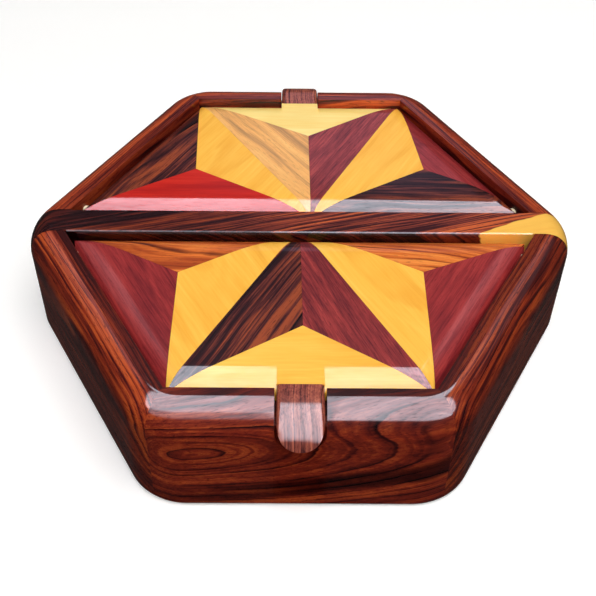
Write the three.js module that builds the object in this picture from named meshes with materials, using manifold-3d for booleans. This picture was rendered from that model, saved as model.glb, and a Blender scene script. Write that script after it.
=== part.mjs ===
// A hexagonal jewelry box of mixed hardwoods. A divider runs across its middle, and a parquetry lid
// swings up on each side of it, on wooden pins set in the slanted side boards.
// Units are millimetres. +Z is up, the divider runs along X, and the origin is the middle of the
// underside. "Out" is the distance from the divider's middle plane, towards the front (-Y) or rear (+Y).

import * as THREE from 'three';
import { mergeVertices } from 'three/addons/utils/BufferGeometryUtils.js';
import Module from 'manifold-3d';

// Driving dimensions of the box
const OPENING_SIDE = 85; // inner side of the hexagon
const BOARD_THICKNESS = 12.5;
const DIVIDER_THICKNESS = 12;
const BOX_HEIGHT = 45;
const CORNER_RADIUS = 22; // outer corners, seen from above
const RIM_ROUND_WIDTH = 9.5; // round-over of the outer top edge, across the board
const RIM_ROUND_DEPTH = 11; // the same round-over, down the board
const FOOT_ROUND = 1.5; // outer bottom edge
const INNER_EASE = 0.8; // small chamfer along the openings
const GLUE_LINE = 0.2; // left between glued faces

// Floor panels, held in grooves
const FLOOR_THICKNESS = 5;
const FLOOR_LIFT = 4; // underside of the floors above the table
const GROOVE_DEPTH = 4;
const GROOVE_CLEARANCE = 0.3;

// Lids
const LID_GAP = 0.7; // to the boards and the divider
const LID_RECESS = 0.6; // lid top below the rim
const PARQUETRY_THICKNESS = 6;
const LID_BASE_THICKNESS = 3.4;
const LID_ROUND_WIDTH = 9.5; // round-over of all four top edges, which also frees the hinge edge to swing
const LID_ROUND_DEPTH = 5;
const LID_OPEN_ANGLE = THREE.MathUtils.degToRad(95);

// Hinge pins, two to a lid
const PIN_DIAMETER = 2.4;
const PIN_FROM_DIVIDER = 6.9; // pin's centre line to the divider's face
const PIN_IN_LID = 12;
const PIN_IN_BOARD = 9;
const PIN_RUNNING_GAP = 0.15; // radial, in the lid
const PIN_END_GAP = 0.5;

// Thumb tabs, let into the lid's edge, which run out over the rim in a notch and curve down past it
const TAB_WIDTH = 15;
const TAB_LET_IN = 1.5; // how far the tab reaches into the lid's edge
const TAB_RUN = 6.9; // level part of the tab, before it curves down
const TAB_BEND_RADIUS = 15; // of the tab's upper face
const TAB_DROP = 9; // tip of the tab below the rim
const TAB_TIP_RADIUS = 7;
const TAB_EDGE_ROUND = 1.5;
const TAB_SEAT_GAP = 0.3; // under the tab, where the closed lid rests
const NOTCH_CLEARANCE = 0.6; // beside the tab
const NOTCH_DROP = 15.5; // bottom of the notch below the rim
const NOTCH_DEPTH = 3.8; // finger space cut into the board's face below the tab

// Hand-cut joints don't run quite evenly. These shifts, [x, out], move the joints of each lid from the
// even pattern: the star's middle point, the centre of each triangle, and the two hinge corners.
const FRONT_STAR = {
  apex: [0, 2.6],
  centres: [[-0.4, -1.6], [0.8, -1.3], [0.9, -3.9]],
  hingeCorners: [-2.6, 1.6],
};
const REAR_STAR = {
  apex: [4, 6.3],
  centres: [[0.3, 1.3], [2.2, -0.5], [4.9, 0]],
  hingeCorners: [0, 6.1],
};

// Smoothness of the curved faces
const ARC_STEPS = 3; // half the facets of each arc in an outline
const RIM_STEPS = 6;
const LID_EDGE_STEPS = 5;
const SMALL_EDGE_STEPS = 2;
const PIN_FACETS = 20;
const SWING_STEPS = 4; // positions of the swinging lid that its hinge corners are cut for
const SAME_POINT = 0.001;

// Sizes that follow from the driving dimensions
const SIN60 = Math.sin(Math.PI / 3);
const TAN60 = Math.tan(Math.PI / 3);
const HALF_DIVIDER = DIVIDER_THICKNESS / 2;
const OPENING_DEPTH = OPENING_SIDE * SIN60;
const OPENING_OUT = HALF_DIVIDER + OPENING_DEPTH;
const OUTER_OUT = OPENING_OUT + BOARD_THICKNESS;
const LID_TOP = BOX_HEIGHT - LID_RECESS;
const PARQUETRY_BOTTOM = LID_TOP - PARQUETRY_THICKNESS;
const LID_BOTTOM = PARQUETRY_BOTTOM - LID_BASE_THICKNESS;
const LID_NEAR = HALF_DIVIDER + LID_GAP;
const LID_FAR = OPENING_OUT - LID_GAP;
const PIN_OUT = HALF_DIVIDER + PIN_FROM_DIVIDER;
const PIN_HEIGHT = (LID_TOP + LID_BOTTOM) / 2;
const PIN_RADIUS = PIN_DIAMETER / 2;
const TAB_POCKET = LID_FAR - TAB_LET_IN; // where the tab's pocket in the lid begins
const TAB_INNER_RADIUS = TAB_BEND_RADIUS - PARQUETRY_THICKNESS; // the tab is as thick as the parquetry
const TAB_CENTRE_OUT = TAB_POCKET + GLUE_LINE + TAB_RUN;
const TAB_CENTRE_HEIGHT = LID_TOP - TAB_BEND_RADIUS;
const TAB_TIP = BOX_HEIGHT - TAB_DROP;
const NOTCH_BOTTOM = BOX_HEIGHT - NOTCH_DROP;
const MARGIN = OUTER_OUT; // how far cutting shapes reach past what they cut
const REACH = OUTER_OUT + MARGIN; // the same, measured from the middle of the box
const FRONT = -1;
const REAR = 1;
const LEFT = -1;
const RIGHT = 1;

const wasm = await Module();
wasm.setup();

// From three.js geometry to a solid that can be cut, and back

function toSolid(geometry) {
  const bare = geometry.clone();
  bare.deleteAttribute('normal');
  bare.deleteAttribute('uv');
  const merged = mergeVertices(bare);
  const mesh = new wasm.Mesh({
    numProp: 3,
    vertProperties: Float32Array.from(merged.attributes.position.array),
    triVerts: Uint32Array.from(merged.index.array),
  });
  return new wasm.Manifold(mesh);
}

function toGeometry(solid) {
  const { vertProperties, triVerts } = solid.getMesh();
  const indexed = new THREE.BufferGeometry();
  indexed.setAttribute('position', new THREE.BufferAttribute(vertProperties, 3));
  indexed.setIndex(new THREE.BufferAttribute(triVerts, 1));
  const facets = indexed.toNonIndexed();
  facets.computeVertexNormals();
  return facets;
}

// Outlines seen from above

// x of the slanted inner wall at a distance out from the divider's middle, moved outwards by grow
function slantX(out, grow) {
  return OPENING_SIDE - (out - HALF_DIVIDER) / TAN60 + grow / SIN60;
}

// The outline of one opening with every side moved outwards by grow
function halfHexagon(side, grow, near = HALF_DIVIDER - grow) {
  const far = OPENING_OUT + grow;
  return [
    new THREE.Vector2(-slantX(near, grow), side * near),
    new THREE.Vector2(slantX(near, grow), side * near),
    new THREE.Vector2(slantX(far, grow), side * far),
    new THREE.Vector2(-slantX(far, grow), side * far),
  ];
}

function rectangle(left, right, low, high) {
  return [
    new THREE.Vector2(left, low),
    new THREE.Vector2(right, low),
    new THREE.Vector2(right, high),
    new THREE.Vector2(left, high),
  ];
}

// A convex outline, given counter-clockwise, with an arc at each corner
function roundedShape(corners, radius) {
  const shape = new THREE.Shape();
  corners.forEach((corner, index) => {
    const toBefore = corners.at(index - 1).clone().sub(corner).normalize();
    const toAfter = corners[(index + 1) % corners.length].clone().sub(corner).normalize();
    const halfAngle = Math.acos(toBefore.dot(toAfter)) / 2;
    const inwards = toBefore.clone().add(toAfter).normalize();
    const centre = inwards.multiplyScalar(radius / Math.sin(halfAngle)).add(corner);
    const tangent = radius / Math.tan(halfAngle);
    const start = toBefore.multiplyScalar(tangent).add(corner).sub(centre);
    const end = toAfter.multiplyScalar(tangent).add(corner).sub(centre);
    shape.absarc(centre.x, centre.y, radius, start.angle(), end.angle(), false);
  });
  shape.closePath();
  return shape;
}

function boxOutline() {
  const far = slantX(OUTER_OUT, BOARD_THICKNESS);
  const end = slantX(0, BOARD_THICKNESS);
  const corners = [
    new THREE.Vector2(end, 0),
    new THREE.Vector2(far, OUTER_OUT),
    new THREE.Vector2(-far, OUTER_OUT),
    new THREE.Vector2(-end, 0),
    new THREE.Vector2(-far, -OUTER_OUT),
    new THREE.Vector2(far, -OUTER_OUT),
  ];
  return roundedShape(corners, CORNER_RADIUS);
}

// Solids

// An outline as straight facets, without the doubled points where an arc meets the next line
function faceted(shape) {
  const points = shape.getPoints(ARC_STEPS);
  const isNew = (point, index) => point.distanceTo(points.at(index - 1)) > SAME_POINT;
  return new THREE.Shape(points.filter(isNew));
}

// A flat solid between two heights. The edge, if given, rounds both its ends
function slab(shape, bottom, top, edge = { width: 0, depth: 0, steps: 0 }) {
  const geometry = new THREE.ExtrudeGeometry(faceted(shape), {
    depth: top - bottom - 2 * edge.depth,
    bevelEnabled: edge.steps > 0,
    bevelThickness: edge.depth,
    bevelSize: edge.width,
    bevelOffset: -edge.width,
    bevelSegments: edge.steps,
  });
  geometry.translate(0, 0, bottom + edge.depth);
  return toSolid(geometry);
}

function polygonSlab(points, bottom, top, edge) {
  return slab(new THREE.Shape(points), bottom, top, edge);
}

// A thin wall standing on a line seen from above: what is taken out between two glued pieces
function glueLine(from, to) {
  const along = to.clone().sub(from);
  const wall = new THREE.BoxGeometry(along.length(), GLUE_LINE, MARGIN);
  wall.rotateZ(along.angle());
  wall.translate((from.x + to.x) / 2, (from.y + to.y) / 2, BOX_HEIGHT / 2);
  return toSolid(wall);
}

// A cylinder along X, around a hinge's centre line
function hingeCylinder(side, from, to, radius) {
  const cylinder = new THREE.CylinderGeometry(radius, radius, Math.abs(to - from), PIN_FACETS);
  cylinder.rotateZ(Math.PI / 2);
  cylinder.translate((from + to) / 2, side * PIN_OUT, PIN_HEIGHT);
  return toSolid(cylinder);
}

// Where a pin's two ends lie along X, on the right (1) or left (-1)
function pinEnds(end) {
  return {
    inner: end * (slantX(PIN_OUT, -LID_GAP) - PIN_IN_LID),
    outer: end * (slantX(PIN_OUT, 0) + PIN_IN_BOARD),
  };
}

// The U shape of a tab or its notch, seen from the front
function uSlab(halfWidth, bottom, radius) {
  const top = BOX_HEIGHT + MARGIN;
  const shape = new THREE.Shape();
  shape.moveTo(-halfWidth, top);
  shape.lineTo(-halfWidth, bottom + radius);
  shape.absarc(-halfWidth + radius, bottom + radius, radius, Math.PI, 1.5 * Math.PI, false);
  shape.absarc(halfWidth - radius, bottom + radius, radius, 1.5 * Math.PI, 2 * Math.PI, false);
  shape.lineTo(halfWidth, top);
  shape.closePath();
  const geometry = new THREE.ExtrudeGeometry(faceted(shape), { depth: 2 * REACH, bevelEnabled: false });
  geometry.rotateX(Math.PI / 2);
  geometry.translate(0, REACH, 0);
  return toSolid(geometry);
}

// A solid with the same section all along X. The section is drawn as (out, height)
function sectionAlongX(side, section, width, edgeRound) {
  const geometry = new THREE.ExtrudeGeometry(faceted(section), {
    depth: width - 2 * edgeRound,
    bevelEnabled: edgeRound > 0,
    bevelThickness: edgeRound,
    bevelSize: edgeRound,
    bevelOffset: -edgeRound,
    bevelSegments: SMALL_EDGE_STEPS,
  });
  geometry.translate(0, 0, edgeRound - width / 2);
  const outwards = new THREE.Vector3(0, side, 0);
  const upwards = new THREE.Vector3(0, 0, 1);
  const sideways = new THREE.Vector3(side, 0, 0);
  geometry.applyMatrix4(new THREE.Matrix4().makeBasis(outwards, upwards, sideways));
  return toSolid(geometry);
}

// The box: one shell, cut apart along its glue lines

// Clear of the tab's underside, and cut deeper into the board's face for a finger
function notchCutter(side) {
  const above = BOX_HEIGHT + MARGIN;
  const halfWidth = TAB_WIDTH / 2 + NOTCH_CLEARANCE;
  const seatRadius = TAB_INNER_RADIUS - TAB_SEAT_GAP;
  const seat = new THREE.Shape();
  seat.moveTo(LID_FAR - MARGIN / 2, TAB_CENTRE_HEIGHT + seatRadius);
  seat.lineTo(TAB_CENTRE_OUT, TAB_CENTRE_HEIGHT + seatRadius);
  seat.absarc(TAB_CENTRE_OUT, TAB_CENTRE_HEIGHT, seatRadius, Math.PI / 2, 0, true);
  seat.lineTo(REACH, TAB_CENTRE_HEIGHT);
  seat.lineTo(REACH, above);
  seat.lineTo(LID_FAR - MARGIN / 2, above);
  seat.closePath();
  const finger = new THREE.Shape(rectangle(OUTER_OUT - NOTCH_DEPTH, REACH, NOTCH_BOTTOM, above));
  const outline = uSlab(halfWidth, NOTCH_BOTTOM, TAB_TIP_RADIUS + NOTCH_CLEARANCE);
  return sectionAlongX(side, seat, 2 * halfWidth, 0)
    .add(sectionAlongX(side, finger, 2 * halfWidth, 0))
    .intersect(outline);
}

function boxShell() {
  const rim = { width: RIM_ROUND_WIDTH, depth: RIM_ROUND_DEPTH, steps: RIM_STEPS };
  const foot = { width: FOOT_ROUND, depth: FOOT_ROUND, steps: SMALL_EDGE_STEPS };
  const ease = { width: INNER_EASE, depth: INNER_EASE, steps: 1 };
  const outline = boxOutline();
  const above = BOX_HEIGHT + MARGIN;
  let shell = slab(outline, -MARGIN, BOX_HEIGHT, rim).intersect(slab(outline, 0, above, foot));
  for (const side of [FRONT, REAR]) {
    const opening = polygonSlab(halfHexagon(side, 0), -MARGIN, above);
    const eased = polygonSlab(halfHexagon(side, INNER_EASE), BOX_HEIGHT - INNER_EASE, above, ease);
    const groove = polygonSlab(
      halfHexagon(side, GROOVE_DEPTH),
      FLOOR_LIFT - GROOVE_CLEARANCE,
      FLOOR_LIFT + FLOOR_THICKNESS + GROOVE_CLEARANCE,
    );
    shell = shell.subtract(opening).subtract(eased).subtract(groove).subtract(notchCutter(side));
    for (const end of [LEFT, RIGHT]) {
      const { outer } = pinEnds(end);
      const drilled = outer + end * PIN_END_GAP;
      shell = shell.subtract(hingeCylinder(side, 0, drilled, PIN_RADIUS + GLUE_LINE));
    }
  }
  return shell;
}

// The slice of the plan that holds one outer board: a slanted side board, or the front or rear board
function boardRegion(side, place) {
  const middle = new THREE.Vector2(0, side * HALF_DIVIDER);
  const alongMitre = (end) => new THREE.Vector2(end * REACH, side * (HALF_DIVIDER + REACH * TAN60));
  if (place === 0) {
    return [middle, alongMitre(LEFT), alongMitre(RIGHT)];
  }
  return [middle, new THREE.Vector2(place * REACH, side * HALF_DIVIDER), alongMitre(place)];
}

function boxPieces() {
  let shell = boxShell();
  const strip = (half) => polygonSlab(rectangle(-REACH, REACH, -half, half), -MARGIN, BOX_HEIGHT + MARGIN);
  const divider = shell.intersect(strip(HALF_DIVIDER));
  const pieces = [{ name: 'divider', solid: divider, wood: 'purpleRosewood' }];
  shell = shell.subtract(strip(HALF_DIVIDER + GLUE_LINE));
  const places = [
    { place: LEFT, suffix: '_left_board' },
    { place: 0, suffix: '_board' },
    { place: RIGHT, suffix: '_right_board' },
  ];
  for (const [side, sideName] of [[FRONT, 'front'], [REAR, 'rear']]) {
    for (const end of [LEFT, RIGHT]) {
      const corner = new THREE.Vector2(end * OPENING_SIDE, side * (HALF_DIVIDER + OPENING_SIDE * TAN60));
      shell = shell.subtract(glueLine(new THREE.Vector2(0, side * HALF_DIVIDER), corner));
    }
    for (const { place, suffix } of places) {
      const region = polygonSlab(boardRegion(side, place), -MARGIN, BOX_HEIGHT + MARGIN);
      pieces.push({ name: sideName + suffix, solid: shell.intersect(region), wood: 'rosewood' });
    }
    const panel = polygonSlab(
      halfHexagon(side, GROOVE_DEPTH - GROOVE_CLEARANCE),
      FLOOR_LIFT,
      FLOOR_LIFT + FLOOR_THICKNESS,
    );
    pieces.push({ name: `${sideName}_floor`, solid: panel, wood: 'brownRosewood' });
  }
  return pieces;
}

// The lids: a blank rounded on its edges, cut into a base board and nine wedges of different woods

// The slanted wall beyond the lid's gap, as the lid meets it when it has swung open by an angle
function wallSeenFromLid(side, end, angle) {
  const near = -OPENING_OUT;
  const wall = [
    new THREE.Vector2(end * slantX(near, -LID_GAP), side * near),
    new THREE.Vector2(end * slantX(OPENING_OUT, -LID_GAP), side * OPENING_OUT),
    new THREE.Vector2(end * REACH, side * OPENING_OUT),
    new THREE.Vector2(end * REACH, side * near),
  ];
  const block = polygonSlab(wall, -MARGIN, BOX_HEIGHT);
  const degrees = THREE.MathUtils.radToDeg(angle);
  return block
    .translate([0, -side * PIN_OUT, -PIN_HEIGHT])
    .rotate([-side * degrees, 0, 0])
    .translate([0, side * PIN_OUT, PIN_HEIGHT]);
}

function lidBlank(side) {
  const low = LID_BOTTOM - MARGIN;
  const roundOver = { width: LID_ROUND_WIDTH, depth: LID_ROUND_DEPTH, steps: LID_EDGE_STEPS };
  const square = polygonSlab(halfHexagon(side, -LID_GAP), LID_BOTTOM, LID_TOP);
  const rounded = polygonSlab(halfHexagon(side, -LID_GAP, -OPENING_OUT), low, LID_TOP, roundOver);
  const tabLanding = polygonSlab(
    rectangle(-TAB_WIDTH / 2, TAB_WIDTH / 2, side * (LID_FAR - 2 * LID_ROUND_WIDTH), side * LID_FAR),
    LID_BOTTOM,
    LID_TOP,
  );
  const pocketHalf = TAB_WIDTH / 2 + GLUE_LINE;
  const tabPocket = polygonSlab(
    rectangle(-pocketHalf, pocketHalf, side * TAB_POCKET, side * REACH),
    PARQUETRY_BOTTOM - GLUE_LINE,
    BOX_HEIGHT,
  );
  const behindHinge = rectangle(-REACH, REACH, side * LID_NEAR, side * REACH);
  const hinge = polygonSlab(behindHinge, low, LID_TOP, roundOver);
  let blank = square.intersect(rounded.add(tabLanding)).intersect(hinge).subtract(tabPocket);
  for (const end of [LEFT, RIGHT]) {
    const drilled = pinEnds(end).inner - end * PIN_END_GAP;
    blank = blank.subtract(hingeCylinder(side, drilled, end * OPENING_SIDE, PIN_RADIUS + PIN_RUNNING_GAP));
    for (let step = 1; step <= SWING_STEPS; step += 1) {
      blank = blank.subtract(wallSeenFromLid(side, end, (LID_OPEN_ANGLE * step) / SWING_STEPS));
    }
  }
  return blank;
}

// The joints' meeting points on one lid. Three triangles lie side by side around the star's middle
// point at the hinge, and each is split into three wedges at its centre
function starPoints(side, star) {
  const corner = (x, out) => new THREE.Vector2(x, side * out);
  const [hingeLeft, hingeRight] = star.hingeCorners;
  const apex = corner(...star.apex);
  const corners = [
    corner(-slantX(LID_NEAR, -LID_GAP), LID_NEAR + hingeLeft),
    corner(-slantX(LID_FAR, -LID_GAP), LID_FAR),
    corner(slantX(LID_FAR, -LID_GAP), LID_FAR),
    corner(slantX(LID_NEAR, -LID_GAP), LID_NEAR + hingeRight),
  ];
  const centres = star.centres.map(([x, out], index) => {
    const even = apex.clone().add(corners[index]).add(corners[index + 1]).divideScalar(3);
    return even.add(corner(x, out));
  });
  return { apex, corners, centres };
}

// The nine wedges: the triangle that each belongs to, and which of its sides the wedge stands on
const WEDGES = [
  { name: 'left_side', triangle: 0, stands: 'rim' },
  { name: 'left_hinge', triangle: 0, stands: 'first' },
  { name: 'left_inner', triangle: 0, stands: 'second' },
  { name: 'middle_left', triangle: 1, stands: 'first' },
  { name: 'middle_outer', triangle: 1, stands: 'rim' },
  { name: 'middle_right', triangle: 1, stands: 'second' },
  { name: 'right_inner', triangle: 2, stands: 'first' },
  { name: 'right_hinge', triangle: 2, stands: 'second' },
  { name: 'right_side', triangle: 2, stands: 'rim' },
];

const FRONT_WOODS = {
  left_side: 'purpleRed',
  left_hinge: 'lightRosewood',
  left_inner: 'yellow',
  middle_left: 'darkRosewood',
  middle_outer: 'yellow',
  middle_right: 'purple',
  right_inner: 'yellow',
  right_hinge: 'lightRosewood',
  right_side: 'purpleRed',
};

const REAR_WOODS = {
  left_side: 'darkRosewood',
  left_hinge: 'brightRed',
  left_inner: 'yellow',
  middle_left: 'tan',
  middle_outer: 'paleYellow',
  middle_right: 'purple',
  right_inner: 'yellow',
  right_hinge: 'darkRosewood',
  right_side: 'purpleRed',
};

// A joint reaches past the lid's edge at its outer end, so that it cuts the pieces quite apart
const PAST_EDGE = 1.3;

function extended(from, to) {
  return from.clone().lerp(to, PAST_EDGE);
}

function parquetry(side, lidName, star, woods, layer) {
  const { apex, corners, centres } = starPoints(side, star);
  let wedges = layer;
  centres.forEach((centre, index) => {
    const [first, second] = [corners[index], corners[index + 1]];
    for (const point of [first, second]) {
      wedges = wedges.subtract(glueLine(centre, extended(centre, point)));
    }
    wedges = wedges.subtract(glueLine(centre, extended(centre, apex)));
  });
  for (const point of corners.slice(1, -1)) {
    wedges = wedges.subtract(glueLine(extended(point, apex), extended(apex, point)));
  }
  return WEDGES.map(({ name, triangle, stands }) => {
    const centre = centres[triangle];
    const [first, second] = [corners[triangle], corners[triangle + 1]];
    const regions = {
      rim: [centre, extended(centre, first), extended(centre, second)],
      first: [centre, triangle === 0 ? extended(centre, first) : first, apex],
      second: [centre, triangle === 2 ? extended(centre, second) : second, apex],
    };
    const region = polygonSlab(regions[stands], 0, BOX_HEIGHT);
    return { name: `${lidName}_${name}_wedge`, solid: wedges.intersect(region), wood: woods[name] };
  });
}

function tab(side) {
  const start = TAB_POCKET + GLUE_LINE;
  const low = Math.min(TAB_TIP, TAB_CENTRE_HEIGHT);
  const section = new THREE.Shape();
  section.moveTo(start, LID_TOP);
  section.lineTo(TAB_CENTRE_OUT, LID_TOP);
  section.absarc(TAB_CENTRE_OUT, TAB_CENTRE_HEIGHT, TAB_BEND_RADIUS, Math.PI / 2, 0, true);
  section.lineTo(TAB_CENTRE_OUT + TAB_BEND_RADIUS, low);
  section.lineTo(TAB_CENTRE_OUT + TAB_INNER_RADIUS, low);
  section.absarc(TAB_CENTRE_OUT, TAB_CENTRE_HEIGHT, TAB_INNER_RADIUS, 0, Math.PI / 2, false);
  section.lineTo(start, PARQUETRY_BOTTOM);
  section.closePath();
  const bent = sectionAlongX(side, section, TAB_WIDTH, TAB_EDGE_ROUND);
  return bent.intersect(uSlab(TAB_WIDTH / 2, TAB_TIP, TAB_TIP_RADIUS));
}

function lidPieces(side, lidName, star, woods) {
  const blank = lidBlank(side);
  const everywhere = rectangle(-REACH, REACH, -REACH, REACH);
  const baseLayer = polygonSlab(everywhere, 0, PARQUETRY_BOTTOM - GLUE_LINE);
  const topLayer = polygonSlab(everywhere, PARQUETRY_BOTTOM, BOX_HEIGHT);
  return [
    { name: `${lidName}_base`, solid: blank.intersect(baseLayer), wood: 'brownRosewood' },
    ...parquetry(side, lidName, star, woods, blank.intersect(topLayer)),
    { name: `${lidName}_tab`, solid: tab(side), wood: 'darkRosewood' },
  ];
}

// Woods, as colour and gloss under lacquer

const WOODS = {
  rosewood: { color: 0x7a2f1b, roughness: 0.25 },
  brownRosewood: { color: 0x5b2a1a, roughness: 0.45 },
  darkRosewood: { color: 0x4a2620, roughness: 0.25 },
  lightRosewood: { color: 0xb5622c, roughness: 0.25 },
  purpleRosewood: { color: 0x552825, roughness: 0.25 },
  purple: { color: 0x6b2d35, roughness: 0.25 },
  purpleRed: { color: 0x7d2830, roughness: 0.25 },
  brightRed: { color: 0xb52a1e, roughness: 0.25 },
  yellow: { color: 0xf3b548, roughness: 0.25 },
  paleYellow: { color: 0xf8d27c, roughness: 0.25 },
  tan: { color: 0xd29a5c, roughness: 0.25 },
  pinWood: { color: 0xe6d3b0, roughness: 0.5 },
};

function woodMesh(name, geometry, wood) {
  const material = new THREE.MeshStandardMaterial({ ...WOODS[wood], metalness: 0 });
  const mesh = new THREE.Mesh(geometry, material);
  mesh.name = name;
  return mesh;
}

// The assembly: the origin of each lid's group lies on its pins' centre line, where it turns

const box = new THREE.Group();

for (const { name, solid, wood } of boxPieces()) {
  box.add(woodMesh(name, toGeometry(solid), wood));
}

for (const [side, sideName] of [[FRONT, 'front'], [REAR, 'rear']]) {
  for (const [end, endName] of [[LEFT, 'left'], [RIGHT, 'right']]) {
    const { inner, outer } = pinEnds(end);
    const rod = new THREE.CylinderGeometry(PIN_RADIUS, PIN_RADIUS, Math.abs(outer - inner), PIN_FACETS);
    const pin = woodMesh(`${sideName}_${endName}_hinge_pin`, rod, 'pinWood');
    pin.rotation.z = Math.PI / 2;
    pin.position.set((inner + outer) / 2, side * PIN_OUT, PIN_HEIGHT);
    box.add(pin);
  }
}

for (const [side, lidName, star, woods] of [
  [FRONT, 'front_lid', FRONT_STAR, FRONT_WOODS],
  [REAR, 'rear_lid', REAR_STAR, REAR_WOODS],
]) {
  const lid = new THREE.Group();
  lid.position.set(0, side * PIN_OUT, PIN_HEIGHT);
  for (const { name, solid, wood } of lidPieces(side, lidName, star, woods)) {
    const geometry = toGeometry(solid);
    geometry.translate(0, -side * PIN_OUT, -PIN_HEIGHT);
    lid.add(woodMesh(name, geometry, wood));
  }
  box.add(lid);
}

export default box;
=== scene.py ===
# %% [markdown]
# # A hexagonal jewelry box with two parquetry lids
#
# The box is made of dark hardwood. A divider runs across its middle, three boards close each half,
# and each half has a lid of nine wedges of coloured wood that swings up on two wooden pins.
# This lesson dresses the finished CAD model. It takes the model as a fixed frame, remakes each
# visible piece with true curves, and gives each piece its own wood.

# %% The frame
import math

import bmesh
import bpy
from mathutils import Matrix, Vector

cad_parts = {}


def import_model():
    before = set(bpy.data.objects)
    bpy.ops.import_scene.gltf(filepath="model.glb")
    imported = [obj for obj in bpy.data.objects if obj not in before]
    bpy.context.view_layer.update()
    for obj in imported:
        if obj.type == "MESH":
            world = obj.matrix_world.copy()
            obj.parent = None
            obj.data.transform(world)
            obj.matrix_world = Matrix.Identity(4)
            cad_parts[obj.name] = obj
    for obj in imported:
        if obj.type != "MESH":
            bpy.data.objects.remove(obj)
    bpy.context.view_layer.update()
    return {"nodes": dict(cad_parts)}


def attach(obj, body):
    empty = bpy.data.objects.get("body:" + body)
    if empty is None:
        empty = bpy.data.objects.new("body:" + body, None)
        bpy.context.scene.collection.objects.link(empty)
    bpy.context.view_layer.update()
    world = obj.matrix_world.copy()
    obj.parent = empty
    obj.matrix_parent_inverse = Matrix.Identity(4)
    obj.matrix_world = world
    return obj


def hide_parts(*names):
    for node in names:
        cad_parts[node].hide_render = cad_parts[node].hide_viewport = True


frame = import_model()

# %% [markdown]
# ## Sizes
#
# Blender works in metres, and the box was drawn in millimetres, so each length is written as a
# number of millimetres times `MM`. These are the same lengths that the CAD model was built from.
# "Out" is the distance from the middle plane of the divider towards the front or the rear.

# %% Lengths of the box, the lids, the pins and the tabs
MM = 0.001
SIN60 = math.sin(math.radians(60))
TAN60 = math.tan(math.radians(60))

OPENING_SIDE = 85 * MM
BOARD_THICKNESS = 12.5 * MM
HALF_DIVIDER = 6 * MM
BOX_HEIGHT = 45 * MM
CORNER_RADIUS = 22.01 * MM
RIM_ROUND_WIDTH = 9.5 * MM
RIM_ROUND_DEPTH = 11 * MM
FOOT_ROUND = 1.5 * MM
INNER_EASE = 0.8 * MM
DIVIDER_EASE = 0.4 * MM
FLOOR_LIFT = 4 * MM
FLOOR_THICKNESS = 5 * MM
GROOVE_DEPTH = 4 * MM
GROOVE_CLEARANCE = 0.3 * MM

LID_GAP = 0.7 * MM
LID_TOP = 44.4 * MM
PARQUETRY_BOTTOM = 38.3 * MM
LID_BOTTOM = 35 * MM
LID_ROUND_WIDTH = 9.5 * MM
LID_ROUND_DEPTH = 5 * MM
LID_OPEN_ANGLE = math.radians(95)

PIN_RADIUS = 1.2 * MM
PIN_OUT = 12.9 * MM
PIN_HEIGHT = 39.7 * MM
PIN_IN_LID = 12 * MM
PIN_IN_BOARD = 9 * MM
PIN_RUNNING_GAP = 0.15 * MM
PIN_END_GAP = 0.5 * MM
PIN_EASE = 0.25 * MM
PIN_FACETS = 32

TAB_WIDTH = 15 * MM
TAB_THICKNESS = 6 * MM
TAB_LET_IN = 1.5 * MM
TAB_RUN = 6.9 * MM
TAB_BEND_RADIUS = 15 * MM
TAB_TIP = 36.25 * MM
TAB_TIP_RADIUS = 7.3 * MM
TAB_FACE_ROUND = 1.5 * MM
TAB_BACK_ROUND = 0.8 * MM
TAB_SEAT_GAP = 0.3 * MM
NOTCH_CLEARANCE = 0.6 * MM
REAR_NOTCH_CLEARANCE = 0.25 * MM
NOTCH_BOTTOM = 29.5 * MM
NOTCH_DEPTH = 3.8 * MM

CAD_GLUE_GAP = 0.2 * MM  # between glued faces in the CAD model
HAIRLINE = 0.05 * MM  # between glued faces here
NEAR = 0.01 * MM  # two points closer than this are the same
CURVE_STEPS = 12
RIM_STEPS = 20
TAB_CORNER_STEPS = 6
FOOT_STEPS = 4
EASE_STEPS = 3
ROUND_ON_120 = 0.536  # the bevel profile that gives a true arc on a 120 degree corner
MARGIN = 20 * MM  # how far a cutter reaches past what it cuts
SIDES = (("left", -1), ("right", 1))

OPENING_OUT = HALF_DIVIDER + OPENING_SIDE * SIN60
OUTER_OUT = OPENING_OUT + BOARD_THICKNESS
LID_NEAR = HALF_DIVIDER + LID_GAP
LID_FAR = OPENING_OUT - LID_GAP
TAB_POCKET = LID_FAR - TAB_LET_IN
TAB_START = TAB_POCKET + HAIRLINE
TAB_CENTRE_OUT = TAB_POCKET + CAD_GLUE_GAP + TAB_RUN
TAB_CENTRE_HEIGHT = LID_TOP - TAB_BEND_RADIUS
TAB_INNER_RADIUS = TAB_BEND_RADIUS - TAB_THICKNESS


def in_mm(lengths):
    """Lengths in millimetres, for printing."""
    return [round(length / MM, 2) for length in lengths]


def slant_x(out, grow=0.0):
    """x of the slanted inner wall at a distance out, moved outwards by grow."""
    return OPENING_SIDE - (out - HALF_DIVIDER) / TAN60 + grow / SIN60


print("outer edge at", round(OUTER_OUT / MM, 2), "mm, lid reaches", round(LID_FAR / MM, 2), "mm")

# %% [markdown]
# ## Camera
#
# The photograph looks down at the box from the front at about 44 degrees. Its camera was worked
# out from the straight edges and the 120 degree corners of the hexagon: they fix where it stood,
# how it was turned and how long its lens was.

# %% Place the camera
CAMERA_PLACE = Vector((-3.44, -280.53, 281.23)) * MM
CAMERA_DOWN = 0.77627  # radians below the horizon
CAMERA_YAW = 0.01102
CAMERA_ROLL = 0.01425
CAMERA_LENS = 60.47
SENSOR_WIDTH = 36
CAMERA_NEAR = 10 * MM


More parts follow.
